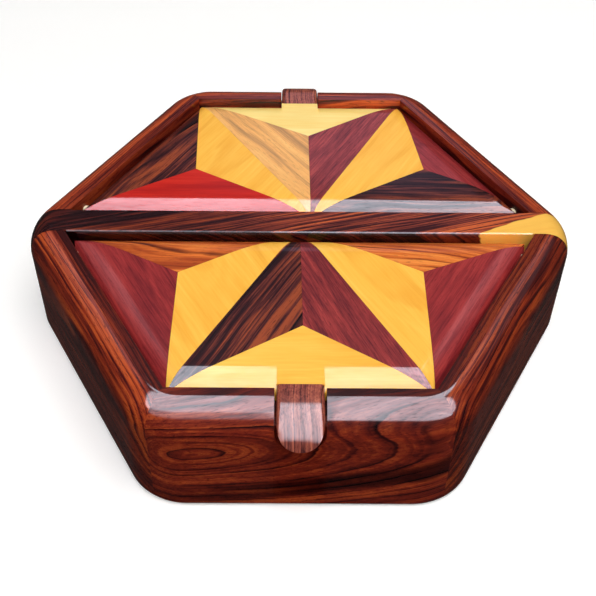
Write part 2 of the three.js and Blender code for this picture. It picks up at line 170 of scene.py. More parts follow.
def camera_turn():
    """The camera's rotation from its yaw, its downward tilt and its roll."""
    forward = Vector((
        math.sin(CAMERA_YAW) * math.cos(CAMERA_DOWN),
        math.cos(CAMERA_YAW) * math.cos(CAMERA_DOWN),
        -math.sin(CAMERA_DOWN),
    ))
    level_right = Vector((math.cos(CAMERA_YAW), -math.sin(CAMERA_YAW), 0))
    level_up = level_right.cross(forward)
    right = math.cos(CAMERA_ROLL) * level_right + math.sin(CAMERA_ROLL) * level_up
    up = math.cos(CAMERA_ROLL) * level_up - math.sin(CAMERA_ROLL) * level_right
    return Matrix((right, up, -forward)).transposed().to_euler()


bpy.ops.object.camera_add(location=CAMERA_PLACE, rotation=camera_turn())
camera = bpy.context.object
camera.name = "photo_camera"
camera.data.lens = CAMERA_LENS
camera.data.sensor_width = SENSOR_WIDTH
camera.data.clip_start = CAMERA_NEAR
bpy.context.scene.camera = camera
print("camera looks", round(math.degrees(CAMERA_DOWN), 1), "degrees down")

# %% [markdown]
# ## Bench tools
#
# Every piece is shaped in edit mode, as by hand. In code nothing is picked with the mouse, so
# `choose` picks vertices, edges or faces by where they lie. `saw` cuts a piece along a plane and
# closes the cut, and `cut` takes one solid out of another.

# %% Opening a piece and choosing parts of it


def pick(piece):
    """Makes one piece the only selected one."""
    bpy.ops.object.select_all(action="DESELECT")
    bpy.context.view_layer.objects.active = piece
    piece.select_set(True)


def edit(piece):
    """Opens one piece in edit mode, with nothing selected."""
    pick(piece)
    bpy.ops.object.mode_set(mode="EDIT")
    bpy.ops.mesh.select_all(action="DESELECT")


def close():
    """Leaves edit mode and selects nothing."""
    bpy.ops.object.mode_set(mode="OBJECT")
    bpy.ops.object.select_all(action="DESELECT")


def choose(piece, kind, test):
    """Selects the corners, edges or faces of the open piece whose points pass the test."""
    bpy.ops.mesh.select_mode(type=kind)
    form = bmesh.from_edit_mesh(piece.data)
    chosen = []
    for part in {"VERT": form.verts, "EDGE": form.edges, "FACE": form.faces}[kind]:
        corners = [part] if kind == "VERT" else part.verts
        if test([corner.co for corner in corners]):
            chosen.append(part)
    for part in chosen:
        part.select_set(True)
    bmesh.update_edit_mesh(piece.data)


def round_off(piece, kind, test, width, steps, profile=0.5):
    """Rounds the corners or edges of the open piece that pass the test."""
    bpy.ops.mesh.select_all(action="DESELECT")
    choose(piece, kind, test)
    affected = "VERTICES" if kind == "VERT" else "EDGES"
    bpy.ops.mesh.bevel(offset=width, segments=steps, profile=profile, affect=affected)


def squash_round(piece, top, width, depth):
    """Presses a round under the top, which is as deep as it is wide, to its true depth."""
    bpy.ops.mesh.select_all(action="DESELECT")
    choose(piece, "EDGE", lambda points: all(p.z > top - width - NEAR for p in points))
    bpy.ops.transform.resize(value=(1, 1, depth / width), center_override=(0, 0, top))


def level_at(height):
    """A test for parts that lie flat at one height."""
    return lambda points: all(abs(p.z - height) < NEAR for p in points)


def upright(points):
    """A test for edges that stand straight up."""
    return (points[0] - points[1]).xy.length < NEAR


def settle(piece):
    """Applies a piece's place and turn, so that its object sits at the origin."""
    pick(piece)
    bpy.ops.object.transform_apply(location=True, rotation=True, scale=True)
    bpy.ops.object.select_all(action="DESELECT")


print("bench tools for choosing are ready")

# %% Sawing, cutting, copying and turning


def saw(piece, point, direction):
    """Cuts a piece along a plane and throws away the side that the direction points to."""
    direction = Vector(direction).normalized()
    edit(piece)
    bpy.ops.mesh.select_all(action="SELECT")
    bpy.ops.mesh.bisect(
        plane_co=Vector(point) - direction * HAIRLINE / 2,
        plane_no=direction,
        use_fill=True,
        clear_outer=True,
    )
    close()


def cut(piece, cutter, operation="DIFFERENCE", keep_cutter=False):
    """Joins, subtracts or intersects a piece with another solid."""
    bpy.context.view_layer.objects.active = piece
    modifier = piece.modifiers.new("cut", "BOOLEAN")
    modifier.object = cutter
    modifier.operation = operation
    modifier.solver = "EXACT"
    bpy.ops.object.modifier_apply(modifier=modifier.name)
    if not keep_cutter:
        bpy.data.objects.remove(cutter)


def copy_of(piece, name):
    """A copy with its own mesh."""
    copy = piece.copy()
    copy.data = piece.data.copy()
    copy.name = f"{name}_piece"
    copy.data.name = f"{name}_piece"
    bpy.context.scene.collection.objects.link(copy)
    return copy


def turned_copy(piece, name):
    """A copy turned half way round, from the front of the box to the rear."""
    copy = copy_of(piece, name)
    copy.rotation_euler.z = math.pi
    settle(copy)
    return copy


def block(name, low, high):
    """A plain block between two corners, as stock or as a cutter."""
    low, high = Vector(low), Vector(high)
    bpy.ops.mesh.primitive_cube_add(size=1, location=(low + high) / 2, scale=high - low)
    piece = bpy.context.object
    piece.name = name
    settle(piece)
    return piece


def rod(name, left, right, out, height, radius):
    """A round rod along X."""
    bpy.ops.mesh.primitive_cylinder_add(
        vertices=PIN_FACETS,
        radius=radius,
        depth=right - left,
        location=((left + right) / 2, -out, height),
        rotation=(0, math.pi / 2, 0),
    )
    piece = bpy.context.object
    piece.name = name
    settle(piece)
    return piece


print("bench tools for cutting are ready")

# %% [markdown]
# ## The blank of the box
#
# A maker glues up the hexagon first and rounds it over afterwards, so the round-over runs on
# without a step from board to board. The same order works here. One solid hexagon is rounded on
# its corners, rim and foot, and is sawn into its boards only after that. The divider makes the
# hexagon longer from front to rear than from side to side, so the two halves of a regular hexagon
# are first pushed a little towards each other.

# %% Round the hexagon
bpy.ops.mesh.primitive_cylinder_add(
    vertices=6,
    radius=OUTER_OUT / SIN60,
    depth=BOX_HEIGHT,
    location=(0, 0, BOX_HEIGHT / 2),
    rotation=(0, 0, math.radians(30)),
)
box_blank = bpy.context.object
box_blank.name = "box_blank"
settle(box_blank)

for end in (-1, 1):
    edit(box_blank)
    choose(box_blank, "FACE", lambda points: all(p.x * end > NEAR for p in points))
    bpy.ops.transform.translate(value=(-end * HALF_DIVIDER / TAN60, 0, 0))
    close()

edit(box_blank)
round_off(box_blank, "EDGE", upright, CORNER_RADIUS / TAN60, CURVE_STEPS, ROUND_ON_120)
round_off(box_blank, "EDGE", level_at(BOX_HEIGHT), RIM_ROUND_WIDTH, RIM_STEPS)
squash_round(box_blank, BOX_HEIGHT, RIM_ROUND_WIDTH, RIM_ROUND_DEPTH)
round_off(box_blank, "EDGE", level_at(0), FOOT_ROUND, FOOT_STEPS)
close()
print("box blank:", in_mm(box_blank.dimensions), "mm")

# %% [markdown]
# ## The boards and the divider
#
# Three boards close each half of the box. Their ends meet in mitres that run to the middle of the
# hexagon, and the side boards butt against the divider. Each board is a copy of the blank with all
# but the board sawn away. The front three are made first, and the rear three are turned copies.

# %% Saw out the boards
OPENING_POINT = Vector((0, -HALF_DIVIDER, 0))


def ease_edge(piece, point, direction):
    """Rounds the top edge along a wall very slightly."""

    def on_wall(points):
        return level_at(BOX_HEIGHT)(points) and all(
            abs((p - point).dot(direction)) < HAIRLINE for p in points
        )

    edit(piece)
    round_off(piece, "EDGE", on_wall, INNER_EASE, EASE_STEPS)
    close()


boards = {}
front = copy_of(box_blank, "front_board")
wall, inwards = Vector((0, -OPENING_OUT, 0)), Vector((0, 1, 0))
saw(front, wall, inwards)
ease_edge(front, wall, inwards)
for end in (-1, 1):
    saw(front, OPENING_POINT, (end * SIN60, 0.5, 0))
boards["front_board"] = front

for place, end in SIDES:
    name = f"front_{place}_board"
    side_board = copy_of(box_blank, name)
    wall = Vector((end * OPENING_SIDE, -HALF_DIVIDER, 0))
    inwards = Vector((-end * SIN60, 0.5, 0))
    saw(side_board, wall, inwards)
    ease_edge(side_board, wall, inwards)
    saw(side_board, OPENING_POINT, (-end * SIN60, -0.5, 0))
    saw(side_board, OPENING_POINT, (0, 1, 0))
    boards[name] = side_board

divider = copy_of(box_blank, "divider")
for side in (-1, 1):
    saw(divider, (0, side * HALF_DIVIDER, 0), (0, side, 0))
bpy.data.objects.remove(box_blank)
print("sawn:", sorted(boards), "and the divider")

# %% [markdown]
# The divider's two top edges are eased only along the openings. A square bar turned on its corner is
# laid along each edge, and what it covers is planed away at 45 degrees.

# %% Ease the divider
ease_reach = OPENING_SIDE - LID_GAP
bar_half = DIVIDER_EASE / math.sqrt(2)
for side in (-1, 1):
    bar = block("bar", (-ease_reach, -bar_half, -bar_half), (ease_reach, bar_half, bar_half))
    bar.rotation_euler.x = math.pi / 4
    bar.location = (0, side * HALF_DIVIDER, BOX_HEIGHT)
    settle(bar)
    cut(divider, bar)
print("divider:", in_mm(divider.dimensions), "mm")

# %% [markdown]
# ## Grooves, pin holes and notches
#
# The floor of each half lies in a groove. A cutter with the outline of the opening, grown by the
# depth of the groove, takes it out of every board at once. The pins go into drilled holes, and the
# front board has a U-shaped notch that the tab of the lid hooks over.

# %% Plough the grooves


def half_hexagon(name, near, far, low, high, grow):
    """A slab with the outline of the front opening: a block whose far side is drawn in to the slant."""
    near_x, far_x = slant_x(near, grow), slant_x(far, grow)
    piece = block(name, (-near_x, -far, low), (near_x, -near, high))
    edit(piece)
    choose(piece, "FACE", lambda points: all(abs(p.y + far) < NEAR for p in points))
    bpy.ops.transform.resize(value=(far_x / near_x, 1, 1), center_override=(0, 0, 0))
    close()
    return piece


groove = half_hexagon(
    "groove",
    HALF_DIVIDER - GROOVE_DEPTH,
    OPENING_OUT + GROOVE_DEPTH,
    FLOOR_LIFT - GROOVE_CLEARANCE,
    FLOOR_LIFT + FLOOR_THICKNESS + GROOVE_CLEARANCE,
    GROOVE_DEPTH,
)
for board in boards.values():
    cut(board, groove, keep_cutter=True)
rear_groove = turned_copy(groove, "rear_groove")
cut(divider, groove)
cut(divider, rear_groove)
print("grooves ploughed in", len(boards), "boards and the divider")

# %% Drill the side boards for the pins
pin_outer = slant_x(PIN_OUT) + PIN_IN_BOARD
pin_inner = slant_x(PIN_OUT, -LID_GAP) - PIN_IN_LID
for place, end in SIDES:
    reach = sorted((end * OPENING_SIDE / 2, end * (pin_outer + PIN_END_GAP)))
    drill = rod("drill", *reach, PIN_OUT, PIN_HEIGHT, PIN_RADIUS + HAIRLINE)
    cut(boards[f"front_{place}_board"], drill)
print("pin holes reach", round(pin_outer / MM, 1), "mm from the middle")

# %% [markdown]
# A tab is a flat tongue that runs out of the lid over the rim and curves down past the board's face.
# It is made by drawing the rectangle of its section, extruding it level and spinning it round the
# bend. Seen from the front it ends in a round tip, so a stencil with two round corners trims it to
# its outline. The notch is the same form, a little larger, joined to a deeper finger space below.

# %% The bent tongue


def tongue(name, width, inner_radius, outer_radius, start, rounds=(0, 0)):
    """A level run and a quarter bend, whose section may have round corners below and above."""
    bpy.ops.mesh.primitive_plane_add(
        size=1,
        location=(0, -start, TAB_CENTRE_HEIGHT + (inner_radius + outer_radius) / 2),
        rotation=(math.pi / 2, 0, 0),
    )
    piece = bpy.context.object
    piece.name = name
    piece.scale = (width, outer_radius - inner_radius, 1)
    settle(piece)
    edit(piece)
    for radius, corner_round in zip((inner_radius, outer_radius), rounds):
        if corner_round:
            level = level_at(TAB_CENTRE_HEIGHT + radius)
            round_off(piece, "VERT", level, corner_round, TAB_CORNER_STEPS)
    bpy.ops.mesh.select_all(action="SELECT")
    bpy.ops.mesh.extrude_region_move(TRANSFORM_OT_translate={"value": (0, start - TAB_CENTRE_OUT, 0)})
    bpy.ops.mesh.spin(
        steps=2 * CURVE_STEPS,
        angle=-math.pi / 2,
        center=(0, -TAB_CENTRE_OUT, TAB_CENTRE_HEIGHT),
        axis=(1, 0, 0),
    )
    bpy.ops.mesh.select_all(action="SELECT")
    bpy.ops.mesh.normals_make_consistent(inside=False)
    close()
    return piece


def trim_to_outline(piece, half_width, tip, tip_radius):
    """Trims a tongue to straight sides and a round tip, as seen from the front."""

    def low_and_lengthways(points):
        return level_at(tip)(points) and abs(points[0].x - points[1].x) < NEAR

    stencil = block("stencil", (-half_width, -2 * OUTER_OUT, tip), (half_width, MARGIN, 2 * BOX_HEIGHT))
    edit(stencil)
    round_off(stencil, "EDGE", low_and_lengthways, tip_radius, CURVE_STEPS)
    close()
    cut(piece, stencil, "INTERSECT")


def notch_cutter(clearance):
    """What has to go for one tab: its seat over the rim and the finger space below."""
    half_width = TAB_WIDTH / 2 + clearance
    radii = (TAB_INNER_RADIUS - TAB_SEAT_GAP, TAB_BEND_RADIUS + MARGIN)
    cutter = tongue("notch", 6 * half_width, *radii, OPENING_OUT - MARGIN)
    finger_space = block(
        "finger_space",
        (-2 * half_width, -OUTER_OUT - MARGIN, NOTCH_BOTTOM - MM),
        (2 * half_width, NOTCH_DEPTH - OUTER_OUT, LID_TOP),
    )
    cut(cutter, finger_space, "UNION")
    trim_to_outline(cutter, half_width, NOTCH_BOTTOM, TAB_TIP_RADIUS + clearance)
    return cutter


rear_source = copy_of(boards["front_board"], "rear_source")
cut(rear_source, notch_cutter(REAR_NOTCH_CLEARANCE))
cut(boards["front_board"], notch_cutter(NOTCH_CLEARANCE))
REAR_TWIN = {
    "front_left_board": "rear_right_board",
    "front_board": "rear_board",
    "front_right_board": "rear_left_board",
}
for name, rear_name in REAR_TWIN.items():
    source = rear_source if name == "front_board" else boards[name]
    boards[rear_name] = turned_copy(source, rear_name)
bpy.data.objects.remove(rear_source)
print("boards:", sorted(boards))

# %% [markdown]
# ## The blank of a lid
#
# A lid is rounded over on all four sides, but not where the tab leaves it. On the real lid that
# also keeps the hinge edge clear of the divider as it swings. The blank is rounded as one piece, a
# flat landing with a shallow pocket for the tab is added, and the whole is trimmed to its thickness.

# %% Round the lid
lid_blank = half_hexagon("lid_blank", LID_NEAR, LID_FAR, LID_BOTTOM - MARGIN, LID_TOP, -LID_GAP)
edit(lid_blank)
round_off(lid_blank, "EDGE", level_at(LID_TOP), LID_ROUND_WIDTH, CURVE_STEPS)
squash_round(lid_blank, LID_TOP, LID_ROUND_WIDTH, LID_ROUND_DEPTH)
close()

landing = block(
    "landing",
    (-TAB_WIDTH / 2, -LID_FAR, LID_BOTTOM - MARGIN),
    (TAB_WIDTH / 2, 2 * LID_ROUND_WIDTH - LID_FAR, LID_TOP),
)
cut(lid_blank, landing, "UNION")
pocket_half = TAB_WIDTH / 2 + HAIRLINE
pocket_low = (-pocket_half, -OUTER_OUT, PARQUETRY_BOTTOM)
pocket = block("pocket", pocket_low, (pocket_half, -TAB_POCKET, BOX_HEIGHT))
cut(lid_blank, pocket)
saw(lid_blank, (0, 0, LID_BOTTOM - HAIRLINE / 2), (0, 0, -1))
print("lid blank:", in_mm(lid_blank.dimensions), "mm")

# %% [markdown]
# As the lid swings, its hinge corners would run into the slanted side boards. A maker files them
# until they clear. Here the wall is swung round the pins the other way, in a few steps, and is cut
# out of the lid each time.

# %% Relieve the hinge corners
SWING_STEPS = 4
for end in (-1, 1):
    for step in range(1, SWING_STEPS + 1):
        angle = LID_OPEN_ANGLE * step / SWING_STEPS
        wall = block("wall", (0, -OUTER_OUT, -OUTER_OUT), (OUTER_OUT, OUTER_OUT, BOX_HEIGHT))
        place = Matrix.Translation((end * slant_x(HALF_DIVIDER, -LID_GAP), -HALF_DIVIDER, 0))
        slant = Matrix.Rotation(math.radians(-30), 4, "Z")
        flip = Matrix.Rotation(0 if end > 0 else math.radians(240), 4, "Z")
        to_pins = Matrix.Translation((0, -PIN_OUT, PIN_HEIGHT))
        back_swing = Matrix.Rotation(angle, 4, "X")
        wall.matrix_world = to_pins @ back_swing @ to_pins.inverted() @ place @ flip @ slant
        settle(wall)
        cut(lid_blank, wall)
print("lid blank has", len(lid_blank.data.polygons), "faces")

# %% [markdown]
# ## The parquetry
#
# Three triangles lie side by side round a point at the middle of the hinge, and each is split at
# its centre into three wedges of different woods. All joints were cut by hand and wander a little
# from the even pattern, so their meeting points are given as they were measured. Each wedge is a
# copy of the lid's upper layer, sawn along its own joints.

# %% The meeting points of the joints
FRONT_STAR = {
    "apex": (0, 2.6),
    "centres": ((-0.4, -1.6), (0.8, -1.3), (0.9, -3.9)),
    "hinge_corners": (-2.6, 1.6),
}
REAR_STAR = {
    "apex": (4, 6.3),
    "centres": ((0.3, 1.3), (2.2, -0.5), (4.9, 0)),
    "hinge_corners": (0, 6.1),
}
WEDGES = (
    ("left_side", 0, ("first", "second")),
    ("left_hinge", 0, ("first", "apex")),
    ("left_inner", 0, ("second", "apex")),
    ("middle_left", 1, ("first", "apex")),
    ("middle_outer", 1, ("first", "second")),
    ("middle_right", 1, ("second", "apex")),
    ("right_inner", 2, ("first", "apex")),
    ("right_hinge", 2, ("second", "apex")),
    ("right_side", 2, ("first", "second")),
)
REACHES_THE_HINGE = ("left_hinge", "right_hinge")


def star_points(side, star):
    """The apex, the four corners and the three centres of one lid's joints."""

    def point(x, out):
        return Vector((x, side * out, 0))

    apex = point(*(v * MM for v in star["apex"]))
    hinge_left, hinge_right = (LID_NEAR + v * MM for v in star["hinge_corners"])
    wide, narrow = slant_x(LID_NEAR, -LID_GAP), slant_x(LID_FAR, -LID_GAP)
    ends = ((-wide, hinge_left), (-narrow, LID_FAR), (narrow, LID_FAR), (wide, hinge_right))
    corners = [point(*end) for end in ends]
    centres = []
    for index, (x, out) in enumerate(star["centres"]):
        even = (apex + corners[index] + corners[index + 1]) / 3
        centres.append(even + point(x * MM, out * MM))
    return apex, corners, centres


print("the middle joints of the front lid meet at", in_mm(star_points(-1, FRONT_STAR)[2][1]), "mm")

# %% Saw the wedges


def saw_along(piece, start, end, inside):
    """Saws a piece along the upright plane through two points and keeps the side of a third."""
    across = (end - start).cross(Vector((0, 0, 1))).normalized()
    if (inside - start).dot(across) > 0:
        across = -across
    saw(piece, start, across)


def parquetry(side, lid, star, blank):
    """The base and the nine wedges of one lid."""
    apex, corners, centres = star_points(side, star)
    base = copy_of(blank, f"{lid}_base")
    saw(base, (0, 0, PARQUETRY_BOTTOM), (0, 0, 1))
    layer = copy_of(blank, f"{lid}_layer")
    saw(layer, (0, 0, PARQUETRY_BOTTOM), (0, 0, -1))
    pieces = {f"{lid}_base": base}
    for name, triangle, ends in WEDGES:
        points = {"first": corners[triangle], "second": corners[triangle + 1], "apex": apex}
        centre = centres[triangle]
        wedge_name = f"{lid}_{name}_wedge"
        wedge = copy_of(layer, wedge_name)
        start, end = (points[key] for key in ends)
        inside = (centre + start + end) / 3
        saw_along(wedge, centre, start, inside)
        saw_along(wedge, centre, end, inside)
        if "apex" in ends and name not in REACHES_THE_HINGE:
            saw_along(wedge, start, end, inside)
        pieces[wedge_name] = wedge
    bpy.data.objects.remove(layer)
    return pieces


def drill_for_pins(side, lid, pieces):
    """Drills the running holes into the four wedges that the two pins enter."""
    for place, end in SIDES:
        reach = sorted((end * (pin_inner - PIN_END_GAP), end * OPENING_SIDE))
        drill = rod("drill", *reach, -side * PIN_OUT, PIN_HEIGHT, PIN_RADIUS + PIN_RUNNING_GAP)
        for name in ("side", "hinge"):
            cut(pieces[f"{lid}_{place}_{name}_wedge"], drill, keep_cutter=True)
        bpy.data.objects.remove(drill)


rear_blank = turned_copy(lid_blank, "rear_blank")
lids = {
    "front_lid": parquetry(-1, "front_lid", FRONT_STAR, lid_blank),
    "rear_lid": parquetry(1, "rear_lid", REAR_STAR, rear_blank),
}
bpy.data.objects.remove(lid_blank)
bpy.data.objects.remove(rear_blank)
drill_for_pins(-1, "front_lid", lids["front_lid"])
drill_for_pins(1, "rear_lid", lids["rear_lid"])
print("wedges and bases:", {lid: len(pieces) for lid, pieces in lids.items()})

# %% [markdown]
# ## Tabs and pins
#
# The tab is the same bent tongue as its notch, at its own size. Its section has round corners, larger
# ones on the face that the thumb meets. Its start stays square where it is glued to the lid.

# %% Shape the tab
tab_rounds = (TAB_BACK_ROUND, TAB_FACE_ROUND)
tab_name = "front_lid_tab_piece"
tab = tongue(tab_name, TAB_WIDTH, TAB_INNER_RADIUS, TAB_BEND_RADIUS, TAB_START, tab_rounds)
trim_to_outline(tab, TAB_WIDTH / 2 + HAIRLINE, TAB_TIP, TAB_TIP_RADIUS)
lids["front_lid"]["front_lid_tab"] = tab
lids["rear_lid"]["rear_lid_tab"] = turned_copy(tab, "rear_lid_tab")
print("tab:", in_mm(tab.dimensions), "mm")

# %% Cut the pins
pins = {}
for place, end in SIDES:
    name = f"front_{place}_hinge_pin"
    reach = sorted((end * pin_inner, end * pin_outer))
    pin = rod(f"{name}_piece", *reach, PIN_OUT, PIN_HEIGHT, PIN_RADIUS)
    edit(pin)
    round_off(pin, "FACE", lambda points: len(points) == PIN_FACETS, PIN_EASE, EASE_STEPS)
    close()
    pins[name] = pin
    rear_place = "right" if place == "left" else "left"
    rear_name = f"rear_{rear_place}_hinge_pin"
    pins[rear_name] = turned_copy(pin, rear_name)
print("pins:", sorted(pins))

# %% [markdown]
# ## Smooth shading
#
# The flat faces have to stay quite flat in their reflections while the round-overs look round.
# Edges under 30 degrees are shaded smooth, and a Weighted Normal modifier then turns the shared
# normals towards the large faces.

# %% Shade every new piece
SMOOTH_BELOW = math.radians(30)


def shade(piece):
    """Smooth round-overs, with the flat faces beside them kept flat."""
    pick(piece)
    bpy.ops.object.shade_smooth_by_angle(angle=SMOOTH_BELOW)
    modifier = piece.modifiers.new("flat_faces", "WEIGHTED_NORMAL")
    modifier.keep_sharp = True
    modifier.weight = 100
    bpy.ops.object.modifier_apply(modifier=modifier.name)
    bpy.ops.object.select_all(action="DESELECT")


box_pieces = {**boards, "divider": divider, **pins}
for piece in [*box_pieces.values(), *lids["front_lid"].values(), *lids["rear_lid"].values()]:
    shade(piece)
faces = [face for piece in box_pieces.values() for face in piece.data.polygons]
triangles = sum(len(face.vertices) - 2 for face in faces)
print("triangles in the box's pieces:", triangles)

# %% [markdown]
# ## Wood
#
# A tree's growth rings are tubes round its pith. A board shows them as lines where it cuts them
# lengthways and as arches where its face comes close to the pith. So the figure is not painted on:
# each piece is placed in its own tree, by a point on the pith and the direction of the grain, and
# the rings are measured from there. A second, finer pattern gives the fibres and the pores.

# %% Node helpers


def feed(socket, value):
    """Links a socket to another one, or sets it to a plain value."""
    if isinstance(value, bpy.types.NodeSocket):
        socket.id_data.links.new(value, socket)
    else:
        socket.default_value = value


def node(tree, kind, inputs=None, **settings):
    """Adds a node with its settings and inputs. Inputs are named, or numbered where names repeat."""
    made = tree.nodes.new(kind)
    for key, value in settings.items():
        setattr(made, key, value)
    for key, value in (inputs or {}).items():
        feed(made.inputs[key], value)
    return made


def result(kind, output, inputs, **settings):
    """One output of a new node, made in the tree that its inputs come from."""
    sockets = [value for value in inputs.values() if isinstance(value, bpy.types.NodeSocket)]
    return node(sockets[0].id_data, kind, inputs, **settings).outputs[output]


def work_out(operation, *values):
    """A Math node's result."""
    return result("ShaderNodeMath", 0, dict(enumerate(values)), operation=operation)


def plus(first, second):
    """The sum of two values."""
    return work_out("ADD", first, second)


def minus(first, second):
    """The first value less the second."""
    return work_out("SUBTRACT", first, second)


def times(first, *others):
    """The product of two or more values."""
    for other in others:
        first = work_out("MULTIPLY", first, other)
    return first


def off_middle(value):
    """A value from 0 to 1, measured from its middle."""
    return minus(value, 0.5)


def vector_sum(operation, inputs, output=0):
    """A Vector Math node's result."""
    return result("ShaderNodeVectorMath", output, inputs, operation=operation)


def split(vector):
    """The X, Y and Z of a place or a direction."""
    return node(vector.id_data, "ShaderNodeSeparateXYZ", {0: vector}).outputs


def between(value, low, high, to_low=0.0, to_high=1.0):
    """Maps a range to another one with soft ends."""
    inputs = {"Value": value, "From Min": low, "From Max": high, "To Min": to_low, "To Max": to_high}
    return result("ShaderNodeMapRange", "Result", inputs, interpolation_type="SMOOTHSTEP")


def before(value, low, high):
    """1 before a soft edge and 0 past it."""
    return between(value, low, high, 1.0, 0.0)


def within(value, first_edge, last_edge):
    """1 between two soft edges and 0 outside of them."""
    return times(between(value, *first_edge), before(value, *last_edge))


def cloud(place, scale, detail, rough):
    """Plain noise from 0 to 1."""
    inputs = {"Vector": place, "Scale": scale, "Detail": detail, "Roughness": rough}
    return result("ShaderNodeTexNoise", "Fac", inputs)


def noise(place, scale, stretch, detail=3.0, rough=0.55):
    """Noise that is stretched along the grain."""
    squeezed = vector_sum("MULTIPLY", {0: place, 1: (scale / stretch, scale, scale)})
    return cloud(squeezed, 1.0, detail, rough)


def mix(factor, first, second, blend="MIX"):
    """A mixed colour."""
    inputs = {"Factor": factor, 6: first, 7: second}
    return result("ShaderNodeMix", 2, inputs, data_type="RGBA", blend_type=blend)


def group(name, inputs, outputs):
    """An empty node group with named sockets."""
    tree = bpy.data.node_groups.new(name, "ShaderNodeTree")
    for socket_name, kind, default in inputs:
        socket = tree.interface.new_socket(socket_name, in_out="INPUT", socket_type=kind)
        socket.default_value = default
    for socket_name, kind in outputs:
        tree.interface.new_socket(socket_name, in_out="OUTPUT", socket_type=kind)
    return tree, tree.nodes.new("NodeGroupInput"), tree.nodes.new("NodeGroupOutput")


def placed(tree, effect, *values):
    """The outputs of a node group that is placed in a tree with its own values."""
    made = node(tree, "ShaderNodeGroup", node_tree=effect)
    for socket, value in zip(made.inputs, values):
        feed(socket, value)
    return made.outputs


print("node helpers are ready")

# %% [markdown]
# The ring group takes a place in the tree in millimetres, with X along the grain, and measures how
# far it is from the pith. Slow and quick noise make the rings wander. Each ring darkens towards its
# outer edge and ends in a thin dark line that comes and goes. Two more patterns depend on the
# distance from the pith too, so they follow the rings: broad bands of colour, and fine threads.

# %% The growth rings
FLOAT, VECTOR = "NodeSocketFloat", "NodeSocketVector"
SLOW_WANDER = (0.05, 3.0, 1.0)  # scale, stretch along the grain, detail
QUICK_WANDER = (0.5, 9.0, 2.0)
SLOW_REACH, QUICK_REACH = 6.0, 0.7  # how far each one moves a ring, in millimetres
LATE_FROM, LINE_FROM, LINE_FULL, LINE_END = 0.4, 0.76, 0.92, 0.93  # as shares of a ring
PATCHES = (0.04, 0.35, 1.0)  # scale along the grain, scale across the rings, detail
PATCH_EDGE, FAINTEST_PATCH = (0.36, 0.58), 0.15
LUCK_RANGE, FAINTEST_LINE = (0.05, 0.7), 0.2  # some rings have hardly a line
BANDS = (0.008, 0.2, 1.0)
THREADS = (0.025, 1.7, 2.0)

rings, ring_in, ring_out = group(
    "growth_rings",
    [("Place", VECTOR, (0, 0, 0)), ("Ring Width", FLOAT, 3), ("Wander", FLOAT, 1), ("Tree", FLOAT, 0)],
    [("Line", FLOAT), ("Late Wood", FLOAT), ("Band", FLOAT), ("Thread", FLOAT)],
)
place, tree_number = ring_in.outputs["Place"], ring_in.outputs["Tree"]
shift = result("ShaderNodeCombineXYZ", 0, {0: tree_number, 1: tree_number})
shifted = vector_sum("ADD", {0: place, 1: shift})
across = vector_sum("MULTIPLY", {0: place, 1: (0, 1, 1)})
from_pith = vector_sum("LENGTH", {0: across}, "Value")
slow = times(off_middle(noise(shifted, *SLOW_WANDER)), SLOW_REACH)
quick = times(off_middle(noise(shifted, *QUICK_WANDER)), QUICK_REACH)
wander = times(ring_in.outputs["Wander"], plus(slow, quick))
radius = plus(from_pith, wander)
along = split(place)["X"]


def ring_noise(along_scale, radius_scale, detail):
    """Noise that follows the rings and changes slowly along the grain."""
    ring_place = {0: times(along, along_scale), 1: times(radius, radius_scale), 2: tree_number}
    return cloud(result("ShaderNodeCombineXYZ", 0, ring_place), 1.0, detail, 0.6)


count = work_out("DIVIDE", radius, ring_in.outputs["Ring Width"])
phase = work_out("FRACT", count)
ring_number = plus(work_out("FLOOR", count), tree_number)
luck = result("ShaderNodeTexWhiteNoise", "Value", {"W": ring_number}, noise_dimensions="1D")
fall = before(phase, LINE_END, 1.0)
thin = times(between(phase, LINE_FROM, LINE_FULL), fall)
patchy = between(ring_noise(*PATCHES), *PATCH_EDGE, FAINTEST_PATCH, 1.0)
strength = times(between(luck, *LUCK_RANGE, FAINTEST_LINE, 1.0), patchy)
feed(ring_out.inputs["Line"], times(thin, strength))
late_wood = times(between(phase, LATE_FROM, LINE_END), fall, patchy)
feed(ring_out.inputs["Late Wood"], late_wood)
feed(ring_out.inputs["Band"], ring_noise(*BANDS))
feed(ring_out.inputs["Thread"], ring_noise(*THREADS))
print("growth rings:", len(rings.nodes), "nodes")

# %% [markdown]
# Fibres are long soft streaks about half a millimetre wide. Pores are short dark dashes, the open
# ends of the vessels that run with the grain. Both come from noise stretched along X.

# %% Fibres and pores
STREAKS = (0.35, 16.0, 4.0, 0.6)  # scale, stretch along the grain, detail, roughness
FINE_FIBRES = (1.7, 24.0, 3.0, 0.6)
DASHES = (2.8, 8.0, 1.0, 0.5)
PORE_FROM, PORE_FULL = 0.6, 0.7  # only the peaks of the dashes are pores

fibres, fibre_in, fibre_out = group(
    "wood_fibres",
    [("Place", VECTOR, (0, 0, 0)), ("Fineness", FLOAT, 1.0)],
    [("Streak", FLOAT), ("Fine", FLOAT), ("Pores", FLOAT)],
)
fine_place = vector_sum("SCALE", {0: fibre_in.outputs["Place"], "Scale": fibre_in.outputs["Fineness"]})
feed(fibre_out.inputs["Streak"], noise(fine_place, *STREAKS))
feed(fibre_out.inputs["Fine"], noise(fine_place, *FINE_FIBRES))
dashes = noise(fine_place, *DASHES)
feed(fibre_out.inputs["Pores"], between(dashes, PORE_FROM, PORE_FULL))
print("wood fibres:", len(fibres.nodes), "nodes")

